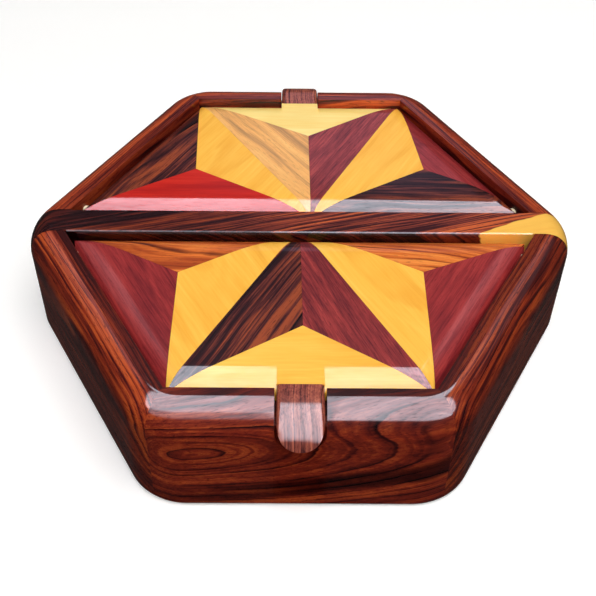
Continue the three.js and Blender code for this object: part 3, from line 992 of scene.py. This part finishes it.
# %% [markdown]
# ## Species
#
# Each species has four colours, the width of its rings in millimetres and how much they wander. Then
# comes the strength of each part of its figure: the broad bands, the threads, the streaks and the
# fine fibres. The last four are the dark lines, the late wood, the pores and how fine the fibres
# are. The colours are written as they look on screen, from 0 to 255, and are turned into the linear
# values that Blender mixes light with.

# %% The woods of the box


def paint(red, green, blue):
    """A screen colour as linear values."""
    linear = []
    for value in (red / 255, green / 255, blue / 255):
        linear.append(value / 12.92 if value <= 0.04 else ((value + 0.055) / 1.055) ** 2.4)
    return (*linear, 1.0)


LOOK_PARTS = (
    "light", "middle", "dark", "line", "ring", "wander", "figure", "lines", "late", "pores", "fineness"
)
LOOKS = {
    "rosewood": ((212, 96, 46), (156, 56, 32), (84, 24, 22), (24, 6, 10),
                 1.5, 0.5, (1.8, 2.4, 1.3, 0.9), 0.95, 0.5, 0.6, 1.0),
    "dark_rosewood": ((152, 70, 40), (90, 38, 34), (38, 15, 20), (14, 6, 10),
                      2.2, 0.7, (3.2, 2.8, 1.5, 0.8), 0.8, 0.5, 0.5, 1.0),
    "bold_rosewood": ((200, 84, 40), (142, 46, 28), (80, 22, 20), (18, 5, 8),
                      2.9, 0.8, (2.2, 1.2, 1.1, 0.9), 1.0, 0.4, 0.5, 1.0),
    "tab_rosewood": ((190, 106, 80), (146, 72, 58), (78, 34, 34), (34, 14, 18),
                     1.8, 0.5, (1.6, 1.8, 1.4, 1.0), 0.7, 0.4, 0.5, 1.0),
    "light_rosewood": ((244, 152, 70), (220, 112, 44), (164, 68, 30), (58, 20, 14),
                       2.2, 0.8, (2.0, 1.8, 1.0, 0.8), 0.9, 0.3, 0.35, 1.0),
    "brown_rosewood": ((124, 66, 44), (98, 48, 34), (66, 30, 24), (44, 20, 18),
                       4.0, 1.2, (2.0, 1.0, 1.5, 1.0), 0.4, 0.4, 0.4, 1.0),
    "purple_rosewood": ((206, 98, 50), (134, 56, 42), (56, 20, 24), (20, 8, 14),
                        2.0, 0.5, (3.0, 3.0, 1.4, 0.8), 0.8, 0.5, 0.5, 1.0),
    "purple": ((172, 66, 62), (142, 50, 50), (100, 34, 40), (70, 22, 30),
               4.0, 1.0, (1.0, 1.2, 1.6, 1.8), 0.25, 0.15, 0.5, 1.3),
    "purple_red": ((168, 56, 54), (142, 42, 44), (104, 28, 34), (80, 18, 26),
                   4.0, 1.0, (0.9, 1.0, 1.6, 1.5), 0.2, 0.12, 0.35, 1.2),
    "bright_red": ((214, 52, 32), (196, 34, 24), (160, 22, 22), (150, 20, 20),
                   6.0, 1.0, (0.8, 0.5, 1.2, 0.8), 0.15, 0.2, 0.12, 0.8),
    "yellow": ((255, 206, 92), (255, 192, 76), (246, 174, 60), (234, 156, 50),
               5.0, 1.0, (1.0, 0.7, 1.2, 0.8), 0.25, 0.25, 0.06, 0.8),
    "pale_yellow": ((255, 236, 160), (255, 228, 142), (252, 212, 116), (244, 200, 104),
                    6.0, 1.0, (1.0, 0.6, 1.2, 0.8), 0.2, 0.2, 0.05, 0.8),
    "tan": ((255, 200, 116), (242, 176, 100), (184, 134, 84), (140, 102, 70),
            4.0, 1.0, (1.5, 1.2, 1.1, 0.7), 0.2, 0.3, 0.3, 0.9),
    "pin_wood": ((250, 240, 214), (240, 226, 194), (214, 194, 156), (200, 178, 140),
                 1.2, 0.2, (1.0, 1.0, 1.0, 1.0), 0.3, 0.3, 0.3, 2.0),
}
SPECIES = {}
for name, row in LOOKS.items():
    SPECIES[name] = dict(zip(LOOK_PARTS, row))
    for shade_name in ("light", "middle", "dark", "line"):
        SPECIES[name][shade_name] = paint(*SPECIES[name][shade_name])
print("species:", ", ".join(SPECIES))

# %% [markdown]
# ## One wood material
#
# The material reads Object coordinates, which are the true place of each point in metres. A
# Mapping node turns them into the piece's tree: its location is the point on the pith, its turn
# lays X along the grain, and its scale gives millimetres. All parts of the figure are summed into
# one tone that a colour ramp turns into the species' colours. The lines and the pores go on top.
# They also thin the lacquer's shine a little, so that its mirror bands look streaky as on real
# brushed lacquer.

# %% The lacquer
PORE_DULLING = 0.3  # the lacquer sinks into the pores
STREAK_RANGE = (0.38, 0.62)
STREAK_DULLING = 0.7  # and shines less along the dark streaks

lacquer, lacquer_in, lacquer_out = group(
    "lacquer",
    [("Gloss", FLOAT, 1), ("Streak", FLOAT, 0), ("Thread", FLOAT, 0), ("Pores", FLOAT, 0)],
    [("Coat", FLOAT)],
)
gloss, streak, thread, pores = (lacquer_in.outputs[index] for index in range(4))
streaks = plus(times(streak, 0.5), times(thread, 0.5))
coat = between(streaks, *STREAK_RANGE, gloss, times(gloss, STREAK_DULLING))
feed(lacquer_out.inputs["Coat"], minus(coat, times(pores, gloss, PORE_DULLING)))
print("lacquer:", len(lacquer.nodes), "nodes")

# %% Build a wood
BARE_ROUGHNESS = 0.3  # under the lacquer
PORE_ROUGHNESS = 0.3  # more in the pores
RELIEF_STRENGTH = 0.25
RELIEF_DEPTH = 0.03 * MM
FINISH = {"Specular IOR Level": 0.04, "Coat Roughness": 0.05, "Coat IOR": 1.5}


def tone_of(parts, gains):
    """The tone of the wood, 0 for light and 1 for dark: each part's swing round its middle, weighted."""
    tone = 0.5
    for part, gain in zip(parts, gains):
        tone = plus(tone, times(off_middle(part), gain))
    return tone


def wood(name, species, pith, grain, tree_number, gloss, tint, bare):
    """One piece's own wood: a species, a point on the pith in millimetres and the grain's direction."""
    look = SPECIES[species]
    material = bpy.data.materials.new(name)
    material.use_nodes = True
    tree = material.node_tree
    bsdf = tree.nodes["Principled BSDF"]
    object_place = node(tree, "ShaderNodeTexCoord").outputs["Object"]
    in_tree = result("ShaderNodeMapping", 0, {
        "Vector": object_place,
        "Location": Vector(pith) * MM,
        "Rotation": Vector(grain).to_track_quat("X", "Z").to_euler(),
        "Scale": (MM, MM, MM),
    }, vector_type="TEXTURE")
    line, late, band, thread = placed(tree, rings, in_tree, look["ring"], look["wander"], tree_number)
    streak, fine, pores = placed(tree, fibres, in_tree, look["fineness"])

    tone = tone_of((band, thread, streak, fine), look["figure"])
    tone = plus(tone, times(late, look["late"]))
    ramp = node(tree, "ShaderNodeValToRGB", {0: tone})
    stops = ramp.color_ramp.elements
    stops.new(0.5)
    for stop, shade_name in zip(stops, ("light", "middle", "dark")):
        stop.color = look[shade_name]
    body = mix(times(line, look["lines"]), ramp.outputs["Color"], look["line"])
    body = mix(times(pores, look["pores"]), body, look["line"])
    if tint:
        body = tint(object_place, in_tree, body)
    feed(bsdf.inputs["Base Color"], body)

    rough = plus(BARE_ROUGHNESS, times(pores, PORE_ROUGHNESS))
    feed(bsdf.inputs["Roughness"], rough)
    relief = minus(times(fine, 0.5), pores)
    bump_inputs = {"Strength": RELIEF_STRENGTH, "Distance": RELIEF_DEPTH, "Height": relief}
    feed(bsdf.inputs["Normal"], result("ShaderNodeBump", 0, bump_inputs))
    coat = placed(tree, lacquer, gloss, streak, thread, pores)["Coat"]
    if bare:
        coat = times(coat, placed(tree, bare, object_place)[0])
    feed(bsdf.inputs["Coat Weight"], coat)
    for key, value in FINISH.items():
        bsdf.inputs[key].default_value = value
    return material


print("wood builder is ready")

# %% [markdown]
# ## Which wood each piece is
#
# For each piece: its species, a point on the pith and the direction of its grain. On the boards
# the grain runs with the board. The front board's pith lies just behind its face and leans away to
# the right, and that gives the nested arches that point right, with straight lines below them.

# %% Woods of the boards
BOARD_GRAIN = {
    "front_board": ("bold_rosewood", (0, -82.6, 30), (1, 0.28, 0.08)),
    "front_left_board": ("rosewood", (-31, -23, 34), (0.5, -0.866, 0.02)),
    "front_right_board": ("rosewood", (31, -23, 34), (0.5, 0.866, 0.02)),
    "rear_board": ("rosewood", (0, 45, 34), (1, 0.02, 0.02)),
    "rear_left_board": ("rosewood", (-31, 23, 34), (0.5, 0.866, 0.02)),
    "rear_right_board": ("rosewood", (31, 23, 34), (0.5, -0.866, 0.02)),
    "divider": ("purple_rosewood", (0, 40, 20), (1, 0.28, 0.02)),
    "front_floor": ("brown_rosewood", (0, -40, -60), (1, 0.02, 0.03)),
    "rear_floor": ("brown_rosewood", (0, 40, -60), (1, -0.02, 0.03)),
}
PIN_GRAIN = {name: ("pin_wood", (0, 0, 30), (1, 0, 0)) for name in pins}
LID_GRAIN = {
    "front_lid_base": ("brown_rosewood", (0, -40, -20), (1, 0.02, 0.03)),
    "front_lid_left_side_wedge": ("purple_red", (-60, -40, 10), (0.5, -0.866, 0)),
    "front_lid_left_hinge_wedge": ("light_rosewood", (-40, -14, 20), (1, -0.05, 0.04)),
    "front_lid_left_inner_wedge": ("yellow", (-30, -30, 10), (0.5, -0.866, 0)),
    "front_lid_middle_left_wedge": ("dark_rosewood", (2, -52, 30), (0.5, 0.866, 0.02)),
    "front_lid_middle_outer_wedge": ("yellow", (0, -60, 10), (1, 0.02, 0)),
    "front_lid_middle_right_wedge": ("purple", (20, -40, 10), (0.4, -0.9, 0.02)),
    "front_lid_right_inner_wedge": ("yellow", (30, -30, 10), (0.5, -0.866, 0)),
    "front_lid_right_hinge_wedge": ("light_rosewood", (40, -8, 26), (1, -0.12, 0.04)),
    "front_lid_right_side_wedge": ("purple_red", (60, -40, 10), (0.5, 0.866, 0)),
    "front_lid_tab": ("tab_rosewood", (22, -80, 50), (0.05, -0.7, -0.7)),
    "rear_lid_base": ("brown_rosewood", (0, 40, -20), (1, -0.02, 0.03)),
    "rear_lid_left_side_wedge": ("dark_rosewood", (-60, 40, 26), (0.5, 0.866, 0.02)),
    "rear_lid_left_hinge_wedge": ("bright_red", (-40, 14, 10), (1, 0, 0)),
    "rear_lid_left_inner_wedge": ("yellow", (-30, 40, 10), (0.5, 0.866, 0)),
    "rear_lid_middle_left_wedge": ("tan", (-20, 40, 26), (0.6, -0.8, 0.02)),
    "rear_lid_middle_outer_wedge": ("pale_yellow", (0, 70, 10), (1, 0, 0)),
    "rear_lid_middle_right_wedge": ("purple", (20, 40, 10), (0.5, 0.866, 0.02)),
    "rear_lid_right_inner_wedge": ("yellow", (30, 40, 10), (0.5, 0.866, 0)),
    "rear_lid_right_hinge_wedge": ("dark_rosewood", (50, 10, 24), (1, -0.05, 0.03)),
    "rear_lid_right_side_wedge": ("purple_red", (60, 40, 10), (0.5, -0.866, 0)),
    "rear_lid_tab": ("tab_rosewood", (22, 80, 50), (0.05, 0.7, -0.7)),
}
print("grain of", len(BOARD_GRAIN) + len(PIN_GRAIN) + len(LID_GRAIN), "pieces")

# %% [markdown]
# The divider's wood is darkest at its left. Its two faces are darkened with painted shade, for the
# shadow in the narrow gap beside each lid. Its right end is pale sapwood, whose edge crosses the top
# slantwise and runs down the face, so a slanted plane separates the two colours, with a little noise.

# %% Heartwood, sapwood and painted shade on the faces
# painted shade on the divider's two faces, for the shadow in the gap beside each lid
GAP_SHADE_STARTS = (5.6 * MM, 5.9 * MM)  # from the divider's middle plane
GAP_SHADE_STRENGTH, GAP_SHADE_COLOUR = 0.9, (0.16, 0.07, 0.1, 1)
DARK_LEFT = (-60 * MM, 10 * MM)
LEFT_STRENGTH, LEFT_STAIN = 0.95, (0.36, 0.28, 0.34, 1)
SAP_LEAN = {"Y": -2.2, "Z": 0.35}  # how far the sapwood's edge moves in x, for each unit
SAP_EDGE = (93.2 * MM, 94.2 * MM)
SAP_RIPPLE = (0.15, 2.0, 5 * MM)  # scale, stretch along the grain, reach
SAP_FIGURE = (0.5, 16.0)
SAP_LIGHT, SAP_DARK = paint(255, 206, 96), paint(242, 174, 72)


def stain_and_shade(amount, body, colour):
    """Multiplies the wood's colour by another one, for the wood's own darker tone and for painted shade.
    """
    return mix(amount, body, colour, "MULTIPLY")


def ripple(in_tree, scale, stretch, reach):
    """A small distance that wanders along the grain."""
    return times(off_middle(noise(in_tree, scale, stretch)), reach)


def heart_sap_and_gap_shade(object_place, in_tree, body):
    """Painted shade on the faces, a dark left part and pale sapwood past a slanted plane at the right
    end.
    """
    parts = split(object_place)
    # painted shade: the divider's front and rear faces are darkened, as the narrow gap beside each lid
    # shades them
    face = between(work_out("ABSOLUTE", parts["Y"]), *GAP_SHADE_STARTS, 0.0, GAP_SHADE_STRENGTH)
    body = stain_and_shade(face, body, GAP_SHADE_COLOUR)
    body = stain_and_shade(between(parts["X"], *DARK_LEFT, LEFT_STRENGTH, 0.0), body, LEFT_STAIN)
    edge = parts["X"]
    for axis, lean in SAP_LEAN.items():
        edge = plus(edge, times(parts[axis], lean))
    edge = plus(edge, ripple(in_tree, *SAP_RIPPLE))
    pale = between(edge, *SAP_EDGE)
    sap = mix(noise(in_tree, *SAP_FIGURE), SAP_LIGHT, SAP_DARK)
    return mix(pale, body, sap)


print("the sapwood ends near x =", round(SAP_EDGE[0] / MM, 1), "mm")

# %% [markdown]
# The boards get painted shade along their inner walls, so the walls and the flat inner rim are
# purple-brown while the round-over stays orange-red. The painted shade fades with the distance from
# the inner wall, with an edge that wanders a little. The two slanted front boards are a darker wood
# than the others all over, the right one most.

# %% Painted shade at the inner walls
# painted shade at the boards' inner walls and the inner edge of the rim
INNER_SHADE_COLOUR = (0.4, 0.3, 0.36, 1)
INNER_SHADE_FADE = (2.4 * MM, 4.6 * MM)  # from the inner wall
INNER_RIPPLE = (0.3, 8.0, 3 * MM)
PLAIN = (1, 1, 1, 1)
# each board's direction outwards, how strong the painted shade at its inner wall is, and the colour that
# darkens its wood all over
BOARD_TINTS = {
    "front_board": ((0, -1, 0), 0.85, PLAIN),
    "front_left_board": ((-SIN60, -0.5, 0), 0.85, (0.8, 0.72, 0.66, 1)),
    "front_right_board": ((SIN60, -0.5, 0), 0.85, (0.62, 0.55, 0.48, 1)),
    "rear_board": ((0, 1, 0), 0.1, PLAIN),
    "rear_left_board": ((-SIN60, 0.5, 0), 0.85, PLAIN),
    "rear_right_board": ((SIN60, 0.5, 0), 0.85, PLAIN),
}


def wall_distance(outward):
    """How far a board's inner wall is from the middle of the box."""
    front_or_rear = abs(outward[1]) > SIN60
    return OPENING_OUT if front_or_rear else OPENING_SIDE * SIN60 + HALF_DIVIDER / 2


# painted shade: darkest at a board's inner wall, fading over the inner part of its flat top
inner, inner_in, inner_out = group(
    "inner_wall_shade",
    [
        ("Place", VECTOR, (0, 0, 0)),
        ("Place in Tree", VECTOR, (0, 0, 0)),
        ("Outward", VECTOR, (0, 0, 0)),
        ("Wall", FLOAT, 0),
        ("Strength", FLOAT, 1),
    ],
    [("Wall Shade", FLOAT)],
)
outward_place = {0: inner_in.outputs["Place"], 1: inner_in.outputs["Outward"]}
depth = minus(vector_sum("DOT_PRODUCT", outward_place, "Value"), inner_in.outputs["Wall"])
depth = plus(depth, ripple(inner_in.outputs["Place in Tree"], *INNER_RIPPLE))
wall_shade = between(depth, *INNER_SHADE_FADE, inner_in.outputs["Strength"], 0.0)
feed(inner_out.inputs["Wall Shade"], wall_shade)


def inner_shade_and_stain(outward, strength, colour):
    """A tint for one board: painted shade near its inner wall, and a darker tone of its wood all over.
    """

    def tint(object_place, in_tree, body):
        values = (object_place, in_tree, outward, wall_distance(outward), strength)
        # painted shade near the inner wall, then the board's own darker colour all over
        dark = placed(body.id_data, inner, *values)["Wall Shade"]
        return stain_and_shade(1.0, stain_and_shade(dark, body, INNER_SHADE_COLOUR), colour)

    return tint


walls = {round(wall_distance(row[0]) / MM, 1) for row in BOARD_TINTS.values()}
print("inner walls at", sorted(walls), "mm")

# %% [markdown]
# The front board has two marks of its own. Above its face the rim darkens, most to the right. Low
# on its face a near-black swath rises to the right, under the nested arches. Inside the notch the
# wood is bare, because no brush reached there.

# %% Marks of the front board, and the bare notch
RIM_DARKENS, RIM_TO_RIGHT = (35 * MM, 40 * MM), (-10 * MM, 20 * MM)
RIM_STRENGTH, RIM_LEFT_SHARE, RIM_STAIN = 0.7, 0.6, (0.45, 0.5, 0.6, 1)
SWATH_STRENGTH, SWATH_LEFT_SHARE, SWATH_STAIN = 0.93, 0.45, (0.12, 0.05, 0.09, 1)
SWATH_HEIGHT = 10.5 * MM  # at the middle of the board
SWATH_RISE = 0.19
SWATH_RIPPLE = (0.12, 6.0, 4 * MM)
SWATH_HALF = (2.5 * MM, 6.5 * MM)
SWATH_TO_RIGHT = (-35 * MM, 10 * MM)


def dark_swath(first_tint):
    """A tint for the front board: its darker rim and the near-black swath low on its face."""

    def tint(object_place, in_tree, body):
        body = first_tint(object_place, in_tree, body)
        parts = split(object_place)
        rim = between(parts["Z"], *RIM_DARKENS, 0.0, RIM_STRENGTH)
        rim = times(rim, between(parts["X"], *RIM_TO_RIGHT, RIM_LEFT_SHARE, 1.0))
        body = stain_and_shade(rim, body, RIM_STAIN)
        height = minus(parts["Z"], times(parts["X"], SWATH_RISE))
        height = plus(height, ripple(in_tree, *SWATH_RIPPLE))
        off_swath = work_out("ABSOLUTE", minus(height, SWATH_HEIGHT))
        swath = between(off_swath, *SWATH_HALF, SWATH_STRENGTH, 0.0)
        swath = times(swath, between(parts["X"], *SWATH_TO_RIGHT, SWATH_LEFT_SHARE, 1.0))
        return stain_and_shade(swath, body, SWATH_STAIN)

    return tint


notch_side = TAB_WIDTH / 2 + NOTCH_CLEARANCE
bare_in_notch, bare_in, bare_out = group(
    "bare_in_notch", [("Place", VECTOR, (0, 0, 0))], [("Brushed", FLOAT)]
)
sideways = work_out("ABSOLUTE", split(bare_in.outputs["Place"])["X"])
brushed = between(sideways, notch_side - HAIRLINE, notch_side + HAIRLINE)
feed(bare_out.inputs["Brushed"], brushed)

tints = {name: inner_shade_and_stain(*row) for name, row in BOARD_TINTS.items()}
tints["front_board"] = dark_swath(tints["front_board"])
tints["divider"] = heart_sap_and_gap_shade
print("tinted pieces:", sorted(tints))

# %% Give every piece its wood
FULL_GLOSS = 0.9
GLOSS = {"brown_rosewood": 0.2, "pin_wood": 0.2, "yellow": 0.6, "pale_yellow": 0.6}
TREE_APART = 7.3  # the trees' numbers are this far apart, so that no two figures are alike
all_pieces = {**box_pieces, **lids["front_lid"], **lids["rear_lid"]}
cad_floors = {name: frame["nodes"][name] for name in ("front_floor", "rear_floor")}
all_grain = {**BOARD_GRAIN, **PIN_GRAIN, **LID_GRAIN}
for number, (name, (species, pith, grain)) in enumerate(all_grain.items()):
    piece = all_pieces.get(name) or cad_floors[name]
    gloss = GLOSS.get(species, FULL_GLOSS)
    bare = bare_in_notch if name in ("front_board", "rear_board") else None
    tree_number = TREE_APART * number
    material = wood(f"{name}_wood", species, pith, grain, tree_number, gloss, tints.get(name), bare)
    piece.data.materials.clear()
    piece.data.materials.append(material)
print("woods made:", len(all_pieces) + len(cad_floors))

# %% [markdown]
# ## Riding the frame
#
# Each piece now takes the place of its CAD node and moves with that node's body. The boards, the
# divider and the pins stay with the box, and each lid carries its base, its wedges and its tab.

# %% Replace the CAD nodes
for body, members in {"box": box_pieces, **lids}.items():
    for name, piece in members.items():
        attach(piece, body)
        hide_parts(name)
print("pieces on the frame:", len(all_pieces))

# %% [markdown]
# ## Studio
#
# The box stands on a pale floor that fills the picture. The floor glows a little by itself so that
# it stays white, and more in the distance, where the lights do not reach. It is left out of mirror
# and bounce light, because the low parts of the real box mirror something dark.

# %% Floor
FLOOR_SIZE = 30
FLOOR_DROP = 0.2 * MM  # keeps the floor clear of the underside
NEAR_GLOW, FAR_GLOW = 0.16, 0.85
GLOW_CHANGES = (0.4, 2.5)
MOTTLE = (6.0, 4.0, 0.5)  # scale, detail, roughness
DARK_GREY, PALE_GREY = (0.93, 0.93, 0.93, 1), (0.97, 0.97, 0.97, 1)
bpy.ops.mesh.primitive_plane_add(size=FLOOR_SIZE, location=(0, 0, -FLOOR_DROP))
floor = bpy.context.object
floor.name = "studio_floor"
floor_paint = bpy.data.materials.new("studio_floor_paint")
floor_paint.use_nodes = True
floor_tree = floor_paint.node_tree
floor_inputs = floor_tree.nodes["Principled BSDF"].inputs
floor_place = node(floor_tree, "ShaderNodeTexCoord").outputs["Object"]
mottle = cloud(floor_place, *MOTTLE)
feed(floor_inputs["Base Color"], mix(mottle, DARK_GREY, PALE_GREY))
feed(floor_inputs["Roughness"], between(mottle, 0, 1, 0.6, 0.7))
floor_inputs["Specular IOR Level"].default_value = 0
floor_inputs["Emission Color"].default_value = (1, 1, 1, 1)
far = vector_sum("LENGTH", {0: floor_place}, "Value")
floor_glow = between(far, *GLOW_CHANGES, NEAR_GLOW, FAR_GLOW)
feed(floor_inputs["Emission Strength"], floor_glow)
floor.data.materials.append(floor_paint)
floor.visible_glossy = False
floor.visible_diffuse = False
print("floor:", [round(v, 1) for v in floor.dimensions], "m")

# %% [markdown]
# Lacquer mirrors whatever is around it. In the photograph a bright patch overhead draws a pale band
# on each round-over that faces the camera, while the flat tops mirror the dim distance behind the
# box. The outlines of those bands tell the patch's shape. So a very large panel hangs overhead that
# mirror rays alone can see, and its nodes light only the part of it that lies inside the patch. The
# soft light on the wood comes from a key light and four fills that mirror rays cannot see.

# %% Lights


def softbox(name, place, target, size, radiance, color, mirror=False):
    """An area light of a given brightness, seen by mirror rays alone or by soft light alone."""
    bpy.ops.object.light_add(type="AREA", location=place)
    lamp = bpy.context.object
    lamp.name = name
    lamp.rotation_euler = (Vector(target) - Vector(place)).to_track_quat("-Z", "Y").to_euler()
    lamp.data.shape = "RECTANGLE"
    lamp.data.size, lamp.data.size_y = size
    area = size[0] * size[1]
    lamp.data.energy = radiance * math.pi * area
    lamp.data.color = color
    lamp.visible_glossy = mirror
    lamp.visible_diffuse = not mirror
    return lamp


WHITE, WARM = (1, 1, 1), (1.0, 0.97, 0.93)
PANEL_TINT = (0.84, 0.88, 1.0)
AIM = (0, 0, 0.02)
panel = softbox("sky", (0.5, -3, 4), (0.5, -3, 0), (17, 14), 11.5, PANEL_TINT, mirror=True)
softbox("soft_key", (0.15, -0.35, 1.2), (0, 0, 0), (1.2, 1.2), 4.05, (1.0, 0.99, 0.97))
softbox("front_fill", (0, -1.3, 0.35), AIM, (1.6, 0.5), 1.1, WARM)
softbox("rear_fill", (0, 1.3, 0.35), AIM, (1.6, 0.5), 0.8, WARM)
softbox("left_fill", (-1.3, -0.2, 0.4), AIM, (0.5, 1.2), 0.8, WHITE)
softbox("right_fill", (1.3, -0.2, 0.4), AIM, (0.5, 1.2), 0.6, WHITE)

# %% [markdown]
# The patch is a wedge between two slanted lines, with a middle band that reaches on to the rear.
# Towards the front it fades, on the left sooner than on the right. The tab mirrors a narrow strip of
# it, where both ends are softer. Past the sides of the patch, near its rear, lies a faint glow. All
# lengths are in metres on the panel.

# %% The patch on the panel
SOFT = 0.15
MIDDLE_BAND = (-1.2, 1.6)
LEFT_LINE = (0.693, -0.72, 2.3)  # how x and y count, and how far out the line runs
RIGHT_LINE = (-0.6, -0.8, 1.9)
REAR_FALL = (2.75, 2.95)
TAB_STRIP, TAB_STRIP_HALF = 0.07, (0.13, 0.2)
TAB_REAR_FALL, TAB_FRONT_RISE = (2.0, 3.3), (-8, -4.2)
LEFT_FRONT_RISE, LEFT_DIM_RISE, LEFT_DIM = (-8.5, -5), (-3.6, -2.4), 0.35
RIGHT_FRONT_RISE = (-9, -6.5)
LEFT_TO_RIGHT = (-0.15, 0.05)
GLOW_STARTS, GLOW_FADES, GLOW = (1.6, 2.3), (2.6, 5), (0.09, 0.035)
GLOW_FRONT, GLOW_REAR = (1.8, 2.8), (3.3, 4)

panel.data.use_nodes = True
lamp_tree = panel.data.node_tree
spot = split(node(lamp_tree, "ShaderNodeNewGeometry").outputs["Position"])


def round_about(value):
    """The two ends of a soft edge."""
    return value - SOFT, value + SOFT


def past_line(across_x, across_y, start):
    """1 on the inner side of a slanted line and 0 outside of it."""
    inside = plus(times(spot["X"], across_x), start)
    inside = plus(inside, times(spot["Y"], across_y))
    return between(inside, *round_about(0))


def blend(factor, outside, inside):
    """A value outside of a mask and another one inside it."""
    return plus(outside, times(minus(inside, outside), factor))


column = within(spot["X"], *(round_about(end) for end in MIDDLE_BAND))
wings = times(past_line(*LEFT_LINE), past_line(*RIGHT_LINE))
off_tab = work_out("ABSOLUTE", minus(spot["X"], TAB_STRIP))
over_tab = before(off_tab, *TAB_STRIP_HALF)
rear = before(spot["Y"], *REAR_FALL)
rear = blend(over_tab, rear, before(spot["Y"], *TAB_REAR_FALL))
outline = times(work_out("MAXIMUM", column, wings), rear)
left_front = between(spot["Y"], *LEFT_DIM_RISE, LEFT_DIM, 1.0)
left_front = times(left_front, between(spot["Y"], *LEFT_FRONT_RISE))
right_front = between(spot["Y"], *RIGHT_FRONT_RISE)
both_fronts = blend(between(spot["X"], *LEFT_TO_RIGHT), left_front, right_front)
front_part = blend(over_tab, both_fronts, between(spot["Y"], *TAB_FRONT_RISE))
bright = times(outline, front_part)
sideways = work_out("ABSOLUTE", spot["X"])
glow = times(
    between(sideways, *GLOW_STARTS),
    between(sideways, *GLOW_FADES, *GLOW),
    within(spot["Y"], GLOW_FRONT, GLOW_REAR),
)
strength = work_out("MAXIMUM", bright, glow)
feed(lamp_tree.nodes["Emission"].inputs["Strength"], strength)
print("nodes on the panel:", len(lamp_tree.nodes))

# %% [markdown]
# The world adds dim light from all sides. Towards the rear it is brighter and bluer near the
# horizon, which lays a faint haze over the flat lids, most over the far one.

# %% World
DIM_HEIGHT = (-0.3, 0.4)
DIMNESS = (0.03, 0.07)  # below and overhead
DIM_COLOUR = (1, 0.98, 0.97, 1)
HAZE_COLOUR = (0.62, 0.56, 0.8, 1)
HAZE_HEIGHT = ((0.3, 0.5), (0.59, 0.65))
HAZE_WIDTH = ((-0.14, 0.0), (0.08, 0.26))
HAZE_REAR = (0.3, 0.6)
world = bpy.data.worlds.new("studio_world")
bpy.context.scene.world = world
world.use_nodes = True
sky = world.node_tree
direction = split(node(sky, "ShaderNodeTexCoord").outputs["Generated"])
overhead = between(direction["Z"], *DIM_HEIGHT, *DIMNESS)
haze = times(
    within(direction["Z"], *HAZE_HEIGHT),
    within(direction["X"], *HAZE_WIDTH),
    between(direction["Y"], *HAZE_REAR),
)
dim = mix(overhead, (0, 0, 0, 1), DIM_COLOUR)
feed(sky.nodes["Background"].inputs["Color"], mix(haze, dim, HAZE_COLOUR))
bpy.context.scene.view_settings.view_transform = "Standard"
print("world is set")
